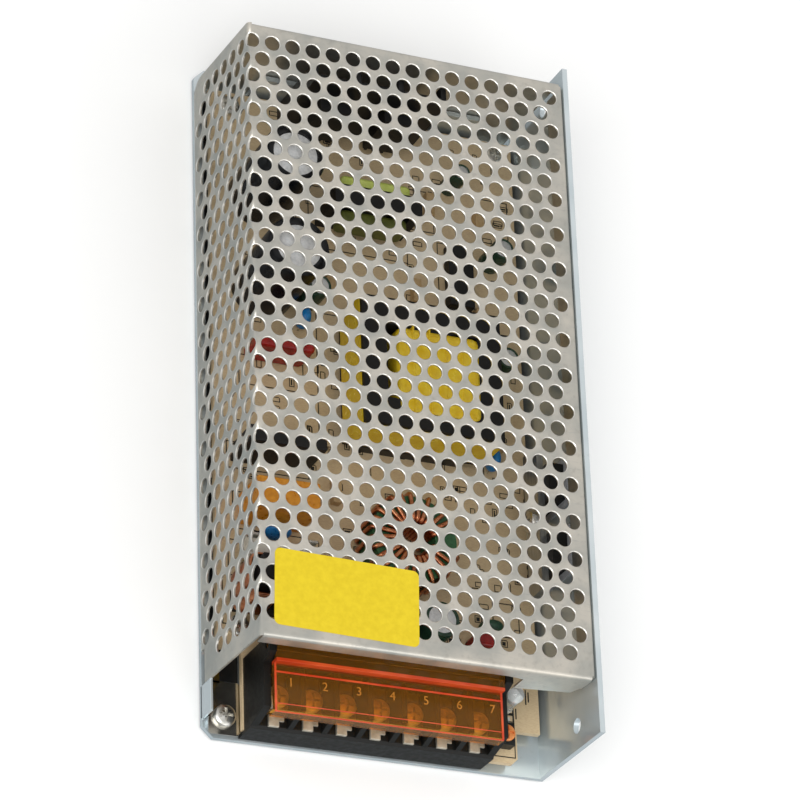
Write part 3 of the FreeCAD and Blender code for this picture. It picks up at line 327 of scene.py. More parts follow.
def tubeAlong(path, radius, sides=8, closed=False):
    # a round wire through the points, with flat ends
    path = [Vector(p) for p in path]
    count = len(path)
    points, faces = [], []
    side = None
    for k, at in enumerate(path):
        before = path[k - 1] if k or closed else at
        after = path[(k + 1) % count] if k + 1 < count or closed else at
        along = (after - before).normalized()
        if side is None:
            side = along.orthogonal().normalized()
        side = (side - along * side.dot(along)).normalized()
        up = along.cross(side)
        points += [tuple(at + side * x + up * y) for x, y in circle(radius, sides)]
    for k in range(count if closed else count - 1):
        a, b = k * sides, (k + 1) % count * sides
        faces += [(a + n, a + (n + 1) % sides, b + (n + 1) % sides, b + n) for n in range(sides)]
    if not closed:
        faces += [tuple(reversed(range(sides))), tuple(range((count - 1) * sides, count * sides))]
    return points, faces


def roundedRect(x0, x1, y0, y1, radius, steps=6):
    corners = [(x1 - radius, y1 - radius, 0), (x0 + radius, y1 - radius, 90),
               (x0 + radius, y0 + radius, 180), (x1 - radius, y0 + radius, 270)]
    turns = [(cx, cy, polar(radius, start + 90 * k / steps))
             for cx, cy, start in corners for k in range(steps + 1)]
    return [(cx + dx, cy + dy) for cx, cy, (dx, dy) in turns]


def merged(shapes):
    points, faces = [], []
    for shapePoints, shapeFaces in shapes:
        start = len(points)
        points += shapePoints
        faces += [tuple(index + start for index in face) for face in shapeFaces]
    return points, faces


def turnedFlat(shape, degrees, centre):
    # the shape turned about a vertical line through centre
    cosine, sine = polar(1, degrees)
    points = [(centre[0] + (x - centre[0]) * cosine - (y - centre[1]) * sine,
               centre[1] + (x - centre[0]) * sine + (y - centre[1]) * cosine, z) for x, y, z in shape[0]]
    return points, shape[1]


def digitShape(digit, size, x, y, low, high):
    # a moulded digit standing on a face that looks up
    curve = bpy.data.curves.new("digitOutline", "FONT")
    curve.body, curve.size = str(digit), size
    curve.align_x, curve.align_y = "CENTER", "CENTER"
    curve.extrude = (high - low) / 2
    holder = bpy.data.objects.new("digitOutline", curve)
    mesh = bpy.data.meshes.new_from_object(holder)
    shape = ([(v.co.x + x, v.co.y + y, v.co.z + (low + high) / 2) for v in mesh.vertices],
             [tuple(face.vertices) for face in mesh.polygons])
    bpy.data.objects.remove(holder)
    bpy.data.meshes.remove(mesh)
    return shape


# Pan heads: steps round, shares of the radius at the rings and at the rim, how full the dome is
head = {"steps": 32, "rings": (1.0, 0.94, 0.84, 0.7), "rim": 0.99, "edge": 0.5, "fullness": 0.97}
weld = 1e-5  # millimetres between corners that are taken as one


def crossScrew(centre, radius, height, facing="+z", arm=0.62, width=0.13, depth=0.55):
    # a domed head with a cross recess; its seat is on centre; arm, width and depth are shares of the head
    steps, a, w = head["steps"], arm * radius, width * radius
    cross = [(w, -a), (w, -w), (a, -w), (a, w), (w, w), (w, a),
             (-w, a), (-w, w), (-a, w), (-a, -w), (-w, -w), (-w, -a)]
    rings = [p for share in head["rings"] for p in circle(share * radius, steps)]
    edges = [(k, (k + 1) % steps) for k in range(steps)]
    edges += [(len(rings) + k, len(rings) + (k + 1) % len(cross)) for k in range(len(cross))]
    result = geometry.delaunay_2d_cdt([Vector(p) for p in rings + cross], edges, [], 0, weld)
    flat, triangles = result[0], result[2]
    count = len(flat)
    points = []
    for x, y in flat:
        reach = min(1.0, math.hypot(x, y) / radius)
        rise = math.sqrt(1 - reach ** 2 * head["fullness"])
        points.append((x, y, height * (head["edge"] + (1 - head["edge"]) * rise)))
    points += [(x, y, z - depth * height) for x, y, z in points]
    points += [(x, y, 0.0) for x, y in flat]
    faces, rim = [], set()
    for p, q, r in triangles:
        middle = (flat[p] + flat[q] + flat[r]) / 3
        if inside(middle, cross):
            faces.append((p + count, q + count, r + count))
            continue
        faces.append((p, q, r))
        rim.update(((p, q), (q, r), (r, p)))
    for p, q in [edge for edge in rim if (edge[1], edge[0]) not in rim]:
        below = 2 * count if flat[p].length > head["rim"] * radius else count
        faces.append((q, p, p + below, q + below))
    turn = {"+z": lambda x, y, z: (x, y, z), "+y": lambda x, y, z: (-x, z, y),
            "-x": lambda x, y, z: (-z, y, x)}[facing]
    return [tuple(c + o for c, o in zip(turn(*p), centre)) for p in points], faces


edgeRounding = {"segments": 2, "fromAngle": 40}


def addPiece(name, shapes, finish, body=caseBody, replaces=(), bevel=0.0, angle=35, accents=()):
    # shapes is one shape or a list; finish is a key of material; accents are pairs of another finish and its
    # faces; bevel is in millimetres, and angle, in degrees, is where shading turns sharp
    points, faces = merged(shapes) if isinstance(shapes, list) else shapes
    mesh = bpy.data.meshes.new(name)
    mesh.from_pydata([tuple(c / 1000 for c in p) for p in points], [], faces)
    mesh.materials.append(material[finish])
    for index, (accent, accentFaces) in enumerate(accents):
        mesh.materials.append(material[accent])
        for face in accentFaces:
            mesh.polygons[face].material_index = index + 1
    mesh.validate()
    mesh.polygons.foreach_set("use_smooth", [True] * len(mesh.polygons))
    mesh.set_sharp_from_angle(angle=math.radians(angle))
    piece = standing(name, mesh)
    if bevel:
        rounding = piece.modifiers.new("rounding", "BEVEL")
        rounding.width = bevel / 1000
        rounding.segments = edgeRounding["segments"]
        rounding.limit_method = "ANGLE"
        rounding.angle_limit = math.radians(edgeRounding["fromAngle"])
        rounding.harden_normals = True
    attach(piece, body)
    if replaces:
        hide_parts(*replaces)
    return piece


# Perforated cover, cut flat as one blank and then folded
cover = {
    # sheet, outer radius of the folds, and where the sheet in a fold keeps its length, as a share of it
    "sheet": 0.55, "fold": 1.15, "neutral": 0.17, "foldSteps": 5,
    "left": -47.5, "right": 47.3, "front": -85.3, "back": 94.6, "top": 38.0, "bottom": 1.4, "lean": 0.039,
    # holes: pitch across the top and down the wall, pitch of the rows, first hole, diameter, drawn edge
    "pitch": 5.957, "wallPitch": 5.72, "wallShift": 0.16, "row": 5.40, "firstX": -46.3, "firstY": 89.2,
    "rows": 32, "columns": 16, "wallHoles": 6, "hole": 4.28, "burr": 0.19, "steps": 24,
    # shares of a hole's radius: what is nearer is inside it, and what is up to there is on its edge
    "within": 0.985, "onEdge": 1.01,
    # flanges, front lip, hanging tab, and the foot with its neck
    "sideFlange": 9.0, "lipBottom": 33.4, "tabLeft": 28.7, "tabRight": 44.3, "tabLow": 26.5,
    "tabLowRight": 28.3, "tabRamp": 4.5, "tabBend": 0.1, "tabSink": 0.8, "wallCorner": 5.0,
    "footFront": -99.3, "footRear": -84.6, "footRight": -39.4, "footBack": -75.8, "footTop": 4.0,
    "footInset": 0.65, "footCorner": 0.9, "neckRight": -45.0, "neckLap": 0.5,
}

# Beside the foot: a black apron in the film's material, laid behind the foot as painted shade, and the short
# lug of the chassis
shadeApron = (-44.8, -39.7, -84.2, -70.0, 3.3, 3.45)
seatLug = (-49.0, -48.3, -94.6, -85.5, 0.8, 7.8)


def neutralLength():
    # the blank's length in a fold, measured where the sheet neither stretches nor shortens
    return math.pi / 2 * (cover["fold"] - cover["neutral"] * cover["sheet"])


def coverHoles():
    # centres of the holes on the flat blank: the top, then the part that becomes the left wall
    centres = []
    foldStart = cover["left"] + cover["fold"]
    for row in range(cover["rows"]):
        y = cover["firstY"] - row * cover["row"]
        offset = row % 2 / 2
        for column in range(cover["columns"] - row % 2):
            centres.append((cover["firstX"] + (column + offset) * cover["pitch"], y))
        lastHole = cover["wallHoles"]
        if row == 0 or y < cover["footBack"]:
            # the lowest hole is left out at the wall's rear corner and above the foot
            lastHole -= 1
        steps = [n + 1 - offset for n in range(cover["wallHoles"])]
        centres += [(foldStart + cover["wallShift"] - step * cover["wallPitch"], y)
                    for step in steps if step <= lastHole]
    return centres


def punchedBlank(outline, centres, foldLines):
    # triangles of a flat outline with round holes, and for each hole edge point its hole's centre
    steps = cover["steps"]
    radius = cover["hole"] / 2 + cover["burr"]
    points = [Vector(p) for p in outline]
    edges = [(k, (k + 1) % len(outline)) for k in range(len(outline))]
    for x, y in centres:
        start = len(points)
        points += [Vector((x + dx, y + dy)) for dx, dy in circle(radius, steps, 0.5)]
        edges += [(start + k, start + (k + 1) % steps) for k in range(steps)]
    for (x0, y0), (x1, y1) in foldLines:
        edges.append((len(points), len(points) + 1))
        points += [Vector((x0, y0)), Vector((x1, y1))]
    result = geometry.delaunay_2d_cdt(points, edges, [], 0, weld)
    corners, triangles = result[0], result[2]
    tree = kdtree.KDTree(len(centres))
    for k, centre in enumerate(centres):
        tree.insert((*centre, 0), k)
    tree.balance()

    def holeAt(point, reach):
        index, distance = tree.find((*point, 0))[1:]
        return centres[index] if distance < reach else None

    kept = []
    for triangle in triangles:
        middle = sum((corners[k] for k in triangle), Vector((0, 0))) / 3  # the triangle's centre
        if holeAt(middle, radius * cover["within"]) is None and inside(middle, outline):
            kept.append(triangle)
    rims = {k: holeAt(corner, radius * cover["onEdge"]) for k, corner in enumerate(corners)}
    return corners, kept, rims


def foldedSheet(blank, place):
    # thickens a blank: place(x, y) gives the outer point and its outward normal
    corners, triangles, rims = blank
    sheet, burr = cover["sheet"], cover["burr"]
    points, faces = [], []
    outer, inner = {}, {}
    for k, corner in enumerate(corners):
        at, normal = place(corner[0], corner[1])
        outer[k] = len(points)
        points.append(tuple(at))
        inner[k] = len(points)
        points.append(tuple(at - normal * sheet))
    used = {}
    for a, b, c in triangles:
        faces.append((outer[a], outer[b], outer[c]))
        faces.append((inner[c], inner[b], inner[a]))
        for edge in ((a, b), (b, c), (c, a)):
            used[edge] = used.get(edge, 0) + 1
    lower, deep, ring = {}, {}, []
    shrink = (cover["hole"] / 2) / (cover["hole"] / 2 + burr)
    for a, b in [edge for edge in used if (edge[1], edge[0]) not in used]:
        if rims[a] and rims[a] == rims[b]:
            for k in (a, b):
                if k not in lower:
                    cx, cy = rims[k]
                    at, normal = place(cx + (corners[k][0] - cx) * shrink, cy + (corners[k][1] - cy) * shrink)
                    lower[k] = len(points)
                    points.append(tuple(at - normal * burr))
                    deep[k] = len(points)
                    points.append(tuple(at - normal * sheet))
            ring.append(len(faces))
            faces.append((outer[b], outer[a], lower[a], lower[b]))
            faces.append((lower[b], lower[a], deep[a], deep[b]))
            faces.append((deep[b], deep[a], inner[a], inner[b]))
        else:
            faces.append((outer[b], outer[a], inner[a], inner[b]))
    return (points, faces), ring


def placeAcross(u, y):
    # outer point and normal at u across the blank: the top, both side folds and the leaning left wall
    side, radius, length = 1 if u > 0 else -1, cover["fold"], neutralLength()
    edge = cover["right"] - radius if side > 0 else -(cover["left"] + radius)
    past = u * side - edge
    turn = min(max(past / length, 0), 1) * math.pi / 2
    x = side * (edge + radius * math.sin(turn)) if past > 0 else u
    drop = radius * (1 - math.cos(turn)) + max(past - length, 0)
    lean = cover["lean"] * drop if u < 0 else 0.0
    return Vector((x - lean, y, cover["top"] - drop)), Vector((side * math.sin(turn), 0, math.cos(turn)))


def foldLinesAcross():
    length = neutralLength()
    lines = []
    for k in range(cover["foldSteps"] + 1):
        past = k / cover["foldSteps"] * length
        left = cover["left"] + cover["fold"] - past
        right = cover["right"] - cover["fold"] + past
        lines.append(((left, cover["front"]), (left, cover["back"])))
        lines.append(((right, cover["front"] + cover["fold"]), (right, cover["back"] - cover["fold"])))
    return lines


def makeCover():
    c = cover
    fold, length = c["fold"], neutralLength()
    wallEdge = c["left"] + fold - length - (c["top"] - fold - c["bottom"])
    seatEdge = c["left"] + fold - length - (c["top"] - fold - c["footTop"] + c["sheet"])
    foldLeft, foldRight = c["left"] + fold, c["right"] - fold
    flangeEdge = foldRight + length + c["sideFlange"] - fold
    front, back = c["front"], c["back"]
    corner = c["wallCorner"]
    outline = [
        (foldLeft, front), (foldLeft, front + fold), (foldRight, front + fold), (flangeEdge, front + fold),
        (flangeEdge, back - fold), (foldRight, back - fold), (foldLeft, back - fold), (foldLeft, back)]
    outline += [(wallEdge + corner * (1 - math.sin(math.radians(15 * k))),
                 back - corner * (1 - math.cos(math.radians(15 * k)))) for k in range(7)]
    outline += [(wallEdge, c["footBack"]), (seatEdge, c["footBack"]), (seatEdge, front)]
    centres = coverHoles()
    sheetShape, ring = foldedSheet(punchedBlank(outline, centres, foldLinesAcross()), placeAcross)
    shapes = [sheetShape]
    print("cover: holes", len(centres), "faces", len(sheetShape[1]))

    def strip(edgeY, direction, drops):
        # a fold at the front or back edge and the flange below it; drops are (x, z) along its lower edge
        steps = c["foldSteps"]
        edge = edgeY - direction * fold
        turns = [polar(1, 90 - 90 * k / steps) for k in range(steps + 1)]
        rows = [(edge + direction * fold * ny, c["top"] - fold * (1 - nz), ny, nz) for ny, nz in turns]
        outerPoints = [[(x, y, z) for y, z, ny, nz in rows] + [(x, edgeY, lowZ)] for x, lowZ in drops]
        innerPoints = [[(x, y - direction * ny * c["sheet"], z - nz * c["sheet"]) for y, z, ny, nz in rows]
                       + [(x, edgeY - direction * c["sheet"], lowZ)] for x, lowZ in drops]
        points = [p for column in outerPoints + innerPoints for p in column]
        height, far = steps + 2, (steps + 2) * (len(drops) - 1)
        inner = far + height
        faces = []
        for a in range(0, far, height):
            for p in range(a, a + height - 1):
                q = p + height
                faces += [(p, q, q + 1, p + 1), (inner + p, inner + p + 1, inner + q + 1, inner + q)]
            p, q = a + height - 1, a + 2 * height - 1
            faces.append((p, q, inner + q, inner + p))
        for p in range(height - 1):
            q = far + p
            faces += [(p, p + 1, inner + p + 1, inner + p), (inner + q, inner + q + 1, q + 1, q)]
        return points, faces if direction < 0 else [face[::-1] for face in faces]

    lip, tabLeft = c["lipBottom"], c["tabLeft"]
    shapes.append(strip(back, 1, [(foldLeft, c["bottom"]), (foldRight, c["bottom"])]))
    shapes.append(strip(front, -1, [
        (foldLeft, lip), (tabLeft - c["tabRamp"], lip), (tabLeft - c["tabBend"], lip - c["tabSink"]),
        (tabLeft, c["tabLow"]), (c["tabRight"], c["tabLowRight"]), (foldRight, lip)]))
    wallFoot = c["left"] - c["lean"] * (c["top"] - c["footTop"])
    plate = roundedRect(wallFoot + c["footInset"], c["footRight"], c["footFront"], c["footRear"],
                        c["footCorner"])
    neckFront = c["footRear"] - c["neckLap"]
    neck = [(wallFoot, neckFront), (c["neckRight"], neckFront), (c["neckRight"], c["footBack"]),
            (wallFoot, c["footBack"])]
    start = sum(len(shape[1]) for shape in shapes)
    shapes += [extruded(flat, "z", c["footTop"] - c["sheet"], c["footTop"]) for flat in (plate, neck)]
    foot = list(range(start, start + len(shapes[-2][1]) + len(shapes[-1][1])))
    addPiece("perforatedCover", shapes, "sheet", replaces=["perforated_cover"], angle=40,
             accents=[("rim", ring), ("foot", foot)])
    # black sheet behind the foot: painted shade
    addPiece("shadeApron", slab(*shadeApron), "film")
    addPiece("seatLug", slab(*seatLug), "chassis", bevel=0.15)


makeCover()


# Label, turned a little from square as it was stuck on
label = {"left": -43.2, "right": -3.0, "front": -82.3, "back": -61.0, "corner": 1.6, "turn": -1.7,
         "sheet": 0.1}


def makeLabel():
    a = label
    outline = roundedRect(a["left"], a["right"], a["front"], a["back"], a["corner"])
    shape = extruded(outline, "z", cover["top"], cover["top"] + a["sheet"])
    middle = ((a["left"] + a["right"]) / 2, (a["front"] + a["back"]) / 2)
    addPiece("yellowLabel", turnedFlat(shape, a["turn"], middle), "label", replaces=["cover_label"])


boardTop = 6.1
polePitch = 9.5
poleX = [-33.2 + polePitch * k for k in range(7)]  # middles of the terminal bays

# Screws: node, finish, and the heads with their seat, radius, height and facing
screws = {
    "coverScrews": ("cover_screws", "screw", [
        ((-44.0, -94.4, 4.0), 3.05, 2.1, "+z"), ((-28.0, 94.6, 8.5), 2.9, 1.9, "+y"),
        ((28.0, 94.6, 8.5), 2.9, 1.9, "+y")]),
    "innerScrews": ("inner_screws", "screw", [
        ((x, y, boardTop), 2.9, 1.9, "+z") for x in (-40.5, 40.5) for y in (-69.5, 86.5)] + [
        ((40.5, -33.0, 19.1), 2.9, 1.9, "-x")]),
    "terminalScrews": ("terminal_screws", "contact", [((x, -91.4, 13.0), 3.1, 2.5, "+z") for x in poleX]),
}


def makeScrews():
    for name, (node, finish, heads) in screws.items():
        shapes = [crossScrew(*each) for each in heads]
        addPiece(name, shapes, finish, replaces=[node], angle=50)


# Strips under the terminal screws: a plated nose at the front, the flat behind it darkened with the clamp
# finish as painted shade, and the clamp plate
contacts = {"low": 11.0, "top": 12.0, "nose": 1.45, "noseFront": -98.6, "noseBack": -95.4, "wing": 3.0,
            "wingFront": -96.9, "wingDrop": 0.3, "back": -84.4, "clampSide": 3.5, "clampY": -91.4,
            "clampTop": 13.0}


def makeContacts():
    a = contacts
    low, top, nose, wing, side = a["low"], a["top"], a["nose"], a["wing"], a["clampSide"]
    noses, flats, clamps = [], [], []
    for x in poleX:
        noses.append(slab(x - nose, x + nose, a["noseFront"], a["noseBack"], low, top))
        noses.append(slab(x + nose, x + wing, a["wingFront"], a["noseBack"], low, top - a["wingDrop"]))
        flats.append(slab(x - wing, x + wing, a["noseBack"], a["back"], low, top))
        clamps.append(slab(x - side, x + side, a["clampY"] - side, a["clampY"] + side, top, a["clampTop"]))
    addPiece("contactNoses", noses, "contact", replaces=["terminal_contacts"], bevel=0.15)
    # the flats are the same tinned strip as the noses; the darker clamp finish on them is painted shade
    addPiece("paintedShadeContactFlats", flats, "clamp")
    addPiece("clampPlates", clamps, "clamp", replaces=["terminal_clamps"], bevel=0.3)


# Hinged amber cover of the terminals, closed; it rides on its own body
flap = {
    "left": -37.0, "right": 27.6, "front": -98.5, "low": 20.3, "sheet": 1.4, "skirt": 2.4, "skirtSheet": 1.0,
    "chamfer": 0.35, "step": -85.3, "stepBack": -84.4, "rise": 2.0, "stepProud": 0.08,
    "pivotY": -80.8, "pivotZ": 22.5, "barrel": 1.3, "pivot": 1.0, "reach": 1.8,
    # ridges across the top: front, back, and how far each goes below and above the face
    "ridges": [(-87.8, -87.3, 0, 0.3), (-96.3, -96.05, 0, 0.12), (-98.52, -98.2, 0.3, 0.06)],
    "rim": 0.6, "rimFront": -98.2, "rimHeight": 0.25,
    "digit": 3.4, "digitY": -90.2, "firstDigit": -32.4, "digitSunk": 0.02, "digitProud": 0.12,
}


def makeFlap():
    f = flap
    left, right, front, low = f["left"], f["right"], f["front"], f["low"]
    top, rearLow = low + f["sheet"], low + f["rise"]
    rearTop = rearLow + f["sheet"]
    skirtLow, skirtBack = low - f["skirt"], front + f["skirtSheet"]
    plate = [(front, skirtLow), (skirtBack, skirtLow), (skirtBack, low), (f["step"], low), (f["step"], top),
             (front + f["chamfer"], top), (front, top - f["chamfer"])]
    pivotY, pivotZ, bulge = f["pivotY"], f["pivotZ"], f["barrel"]
    barrel = [(pivotY + dy, pivotZ + dz) for dy, dz in (polar(bulge, 90 - k) for k in range(0, 262, 15))]
    rear = [(f["stepBack"], rearLow), (f["stepBack"], rearTop)] + barrel + [(pivotY - bulge, rearLow)]
    clear = [extruded(plate, "x", left, right), extruded(rear[::-1], "x", left, right)]
    for start, end in ((left - f["reach"], left), (right, right + f["reach"])):
        clear.append(turned([(0, start), (f["pivot"], start), (f["pivot"], end), (0, end)],
                            (0, pivotY, pivotZ), "x", 24))
    addPiece("amberCover", clear, "amber", flapBody, replaces=["terminal_cover"], angle=30)
    # the step, ridges and side rims take the orange-red finish with its painted glow
    glow = [slab(left, right, f["step"], f["stepBack"], low, rearTop + f["stepProud"])]
    glow += [slab(left, right, y0, y1, top - below, top + above) for y0, y1, below, above in f["ridges"]]
    glow += [slab(start, start + f["rim"], f["rimFront"], f["step"], top, top + f["rimHeight"])
             for start in (left, right - f["rim"])]
    addPiece("glowPaintedRidges", glow, "paintedGlowAmber", flapBody, bevel=0.12)
    digits = [digitShape(k + 1, f["digit"], f["firstDigit"] + k * polePitch, f["digitY"],
                         top - f["digitSunk"], top + f["digitProud"]) for k in range(len(poleX))]
    addPiece("amberDigits", digits, "amberDigit", flapBody)


# Lamp and adjuster at the right front; profiles are (radius, height)
lamp = {"x": 33.8, "y": -83.3, "radius": 2.2, "flange": 2.6, "low": 9.5, "flangeTop": 0.9, "neck": 1.1,
        "shoulder": 17.6, "legGap": 1.27, "legTop": 14.0,
        "cup": [(0, 14.6), (0.9, 14.6), (1.55, 16.4), (1.35, 16.4), (0.8, 15.2), (0, 15.2)]}
adjuster = {"x": 34.4, "y": -91.0, "half": 3.2, "cutBack": 0.7, "top": 9.5, "radius": 2.3, "seat": 9.56,
            "height": 1.04, "collar": [(2.36, 9.2), (2.5, 9.2), (2.5, 9.8), (2.36, 9.8), (2.36, 9.2)]}
leadRadius = 0.3


def leadUp(x, y, top, sides):
    # a tinned lead from the board
    return tubeAlong([(x, y, boardTop), (x, y, top)], leadRadius, sides)


def makeUserSide():
    a = lamp
    x, y, low, radius = a["x"], a["y"], a["low"], a["radius"]
    dome = [(r, a["shoulder"] + rise) for r, rise in (polar(radius, t) for t in range(0, 90, 10))]
    dome.append((0, a["shoulder"] + radius))
    foot = [(0, low), (a["flange"], low), (a["flange"], low + a["flangeTop"]), (radius, low + a["neck"])]
    addPiece("clearLamp", turned(foot + dome, (x, y, 0)), "lamp", replaces=["indicator_led"])
    legs = [leadUp(x + side, y, a["legTop"], 8) for side in (-a["legGap"], a["legGap"])]
    addPiece("lampLegs", legs, "lead")
    addPiece("lampCup", turned(a["cup"], (x, y, 0)), "cup")
    b = adjuster
    x, y, half = b["x"], b["y"], b["half"]
    housing = [slab(x - half, x + half - b["cutBack"], y - half, y + half, boardTop, b["top"]),
               turned(b["collar"], (x, y, 0), "z", 32)]
    addPiece("adjusterBody", housing, "trimmerBlack", replaces=["trimmer_body"], bevel=0.25)
    rotor = crossScrew((x, y, b["seat"]), b["radius"], b["height"], arm=0.8, width=0.16, depth=0.5)
    addPiece("adjusterRotor", rotor, "rotorOrange", adjusterBody,
             replaces=["trimmer_rotor"], angle=50)


# Sleeved capacitors: x, y, radius, top
bulkCapacitors = [(-32.2, 59.2, 9.0, 33.1), (-31.8, 31.0, 9.0, 33.1)]
smallCapacitors = [(-14.8, -67.8, 5.0, 25.1), (-2.5, -67.8, 5.0, 25.1), (9.8, -67.8, 5.0, 25.1),
                   (37.4, 51.5, 3.2, 16.1), (37.4, 17.5, 3.2, 16.1), (-18.5, 30.0, 3.2, 16.1),
                   (25.6, 73.5, 2.6, 16.1)]
# their ends: the well in the rolled sleeve, the lid in it and its score lines; roll is a share of the radius
canEnd = {"well": 1.0, "gap": 0.1, "lip": 0.2, "roll": 0.09, "ease": 0.3, "lidEdge": 0.25, "lidTop": 0.12,
          "scoreFrom": 0.1, "scoreTo": 0.8, "scoreHalf": 0.12, "scoreLow": 0.2, "scoreTop": 0.07,
          "scoreAngles": (90, 210, 330)}


def lidShapes(x, y, radius, top):
    a = canEnd
    low, edge, high = top - a["well"], a["lidEdge"], top - a["lidTop"]
    lid = turned([(0, low), (radius, low), (radius, top - edge), (radius - edge, high), (0, high)], (x, y, 0))
    score = slab(x + a["scoreFrom"] * radius, x + a["scoreTo"] * radius,
                 y - a["scoreHalf"], y + a["scoreHalf"], top - a["scoreLow"], top - a["scoreTop"])
    return [lid] + [turnedFlat(score, angle, (x, y)) for angle in a["scoreAngles"]]


def sleeveShape(x, y, radius, top, lid):
    a = canEnd
    edge, well = a["roll"] * radius, top - a["well"]
    ease = a["ease"] * edge
    profile = [(0, boardTop), (radius, boardTop), (radius, top - edge),
               (radius - ease, top - ease), (radius - edge, top), (lid + a["gap"], top),
               (lid - a["gap"], top - a["lip"]), (lid - a["gap"], well), (0, well)]
    return turned(profile, (x, y, 0), "z", 48)


def makeCapacitors():
    for name, node, group, share, finish in (
            ("bulkCapacitor", "bulk_capacitors", bulkCapacitors, 0.72, "sleeve"),
            ("smallCapacitor", "electrolytic_capacitors", smallCapacitors, 0.8, "greenSleeve")):
        sleeves = [sleeveShape(x, y, radius, top, share * radius) for x, y, radius, top in group]
        lids = [shape for x, y, radius, top in group for shape in lidShapes(x, y, share * radius, top)]
        addPiece(name + "Sleeves", sleeves, finish, replaces=[node], angle=40)
        addPiece(name + "Lids", lids, "can", angle=40)


# Wound parts; corner is the bend of the wire, wound is in degrees
ringChoke = {"x": 6.3, "y": -42.0, "inner": 4.6, "outer": 13.6, "low": 6.2, "top": 18.6, "wire": 0.68,
             "turns": 26, "wound": 324.0, "corner": 1.2, "cornerSteps": 3, "sides": 7}
lineChoke = {"y0": -68.0, "y1": -56.0, "low": 11.8, "top": 24.4, "wire": 0.45, "turns": 14, "corner": 2.4,
             "cornerSteps": 4, "sides": 6, "legs": [(-44.5, -34.4), (-32.6, -22.5)]}


def ringTurn(angle, a):
    # one closed turn of wire round the ring's section, at that angle
    wire = a["wire"]
    section = roundedRect(a["inner"] + wire, a["outer"] - wire, a["low"] + wire, a["top"] - wire,
                          a["corner"], a["cornerSteps"])
    cosine, sine = math.cos(angle), math.sin(angle)
    return tubeAlong([(a["x"] + r * cosine, a["y"] + r * sine, z) for r, z in section],
                     wire, a["sides"], True)


def makeChokes():
    a = ringChoke
    first = math.radians(180 - a["wound"] / 2)
    turns = [ringTurn(first + math.radians(a["wound"]) * k / (a["turns"] - 1), a) for k in range(a["turns"])]
    addPiece("ringChokeWinding", turns, "copper", replaces=["output_choke_winding"], angle=60)
    b = lineChoke
    wire, rise = b["wire"], (b["top"] - b["low"]) / (b["turns"] - 1)
    loops = []
    for x0, x1 in b["legs"]:
        section = roundedRect(x0 + wire, x1 - wire, b["y0"] + wire, b["y1"] - wire,
                              b["corner"], b["cornerSteps"])
        loops += [tubeAlong([(x, y, b["low"] + k * rise) for x, y in section], wire, b["sides"], True)
                  for k in range(b["turns"])]
    addPiece("lineChokeCoils", loops, "copper", replaces=["line_choke_coils"], angle=60)


# Dipped discs: x, y, z, radius, half thickness, axis, finish
discs = [(-21.4, 22.4, 10.2, 3.3, 1.7, "x", "blueDisc"), (33.9, -11.6, 10.2, 3.3, 1.6, "x", "blueDisc"),
         (-31.0, -43.1, 10.6, 4.2, 1.3, "y", "blueDisc"), (-17.5, -56.0, 11.9, 5.5, 1.9, "y", "greenDisc"),
         (31.0, -61.4, 10.0, 3.4, 1.6, "y", "greenDisc")]
discFullness, discLegShare = 0.55, 0.6  # how square the edge is; where the legs leave along the radius


def makeDiscs():
    for k, (x, y, z, radius, half, axis, finish) in enumerate(discs):
        profile = [(radius * math.sin(math.radians(t)) ** discFullness, -half * math.cos(math.radians(t)))
                   for t in range(15, 180, 15)]
        disc = turned([(0, -half)] + profile + [(0, half)], (x, y, z), axis)
        addPiece("dippedDisc%d" % k, disc, finish, replaces=["disc_components"] if k == 0 else ())
        dx, dy = (0, radius * discLegShare) if axis == "x" else (radius * discLegShare, 0)
        legs = [leadUp(x + side * dx, y + side * dy, z, 6) for side in (-1, 1)]
        addPiece("discLegs%d" % k, legs, "lead")


# Moulded, potted or taped boxes: piece, node, finish, slot, (x0, x1, y0, y1, z0, z1), rounding
softBoxes = [
    ("xCapacitor", "x_capacitor", "filmBox", "capacitor_box", (-40.0, -22.0, -40.25, -31.75, 6.1, 20.6), 0.6),
    ("filmCapacitor", "film_capacitor", "redBox", "red_film", (-37.75, -20.6, 8.6, 12.6, 6.1, 17.1), 1.4),
    ("bridgeRectifier", "bridge_rectifier", "epoxy", "package", (-42.0, -20.0, -22.3, -17.7, 6.3, 21.3), 0.4),
    ("driverTransformerCoil", "driver_transformer_coil", "paleTape", "copper",
     (-12.5, 8.5, 59.3, 64.4, 10.4, 18.8), 1.4),
    ("mainTransformerWinding", "main_transformer_winding", "tape", "copper",
     (-0.6, 24.2, -9.2, 16.6, 8.3, 25.9), 2.2),
    ("controlChip", "control_chip", "epoxy", "package", (23.2, 30.8, 34.5, 53.5, 6.6, 10.1), 0.3),
    ("lampFilmCapacitor", None, "redBox", "red_film", (24.4, 30.8, -69.3, -64.9, 6.1, 15.6), 1.2),
    # front of the driver coil: the pale green tape drawn olive, as painted shade
    ("driverCoilFront", None, "greenTapePaintedShade", "copper", (-12.5, 7.5, 49.8, 54.2, 10.4, 17.8), 1.4),
]
# turns of tape whose edges show on the main winding
tapeTurns = {"x": (3.8, 8.6, 13.4, 18.2), "width": 0.5, "front": -9.35, "back": 16.75, "low": 8.6,
             "top": 26.05}


def makeSoftBoxes():
    for name, node, finish, slot, box, rounding in softBoxes:
        addPiece(name, slab(*box), finish, replaces=[node] if node else (), bevel=rounding)
    a = tapeTurns
    wraps = [slab(x, x + a["width"], a["front"], a["back"], a["low"], a["top"]) for x in a["x"]]
    addPiece("tapeEdges", wraps, "tape", bevel=0.1)


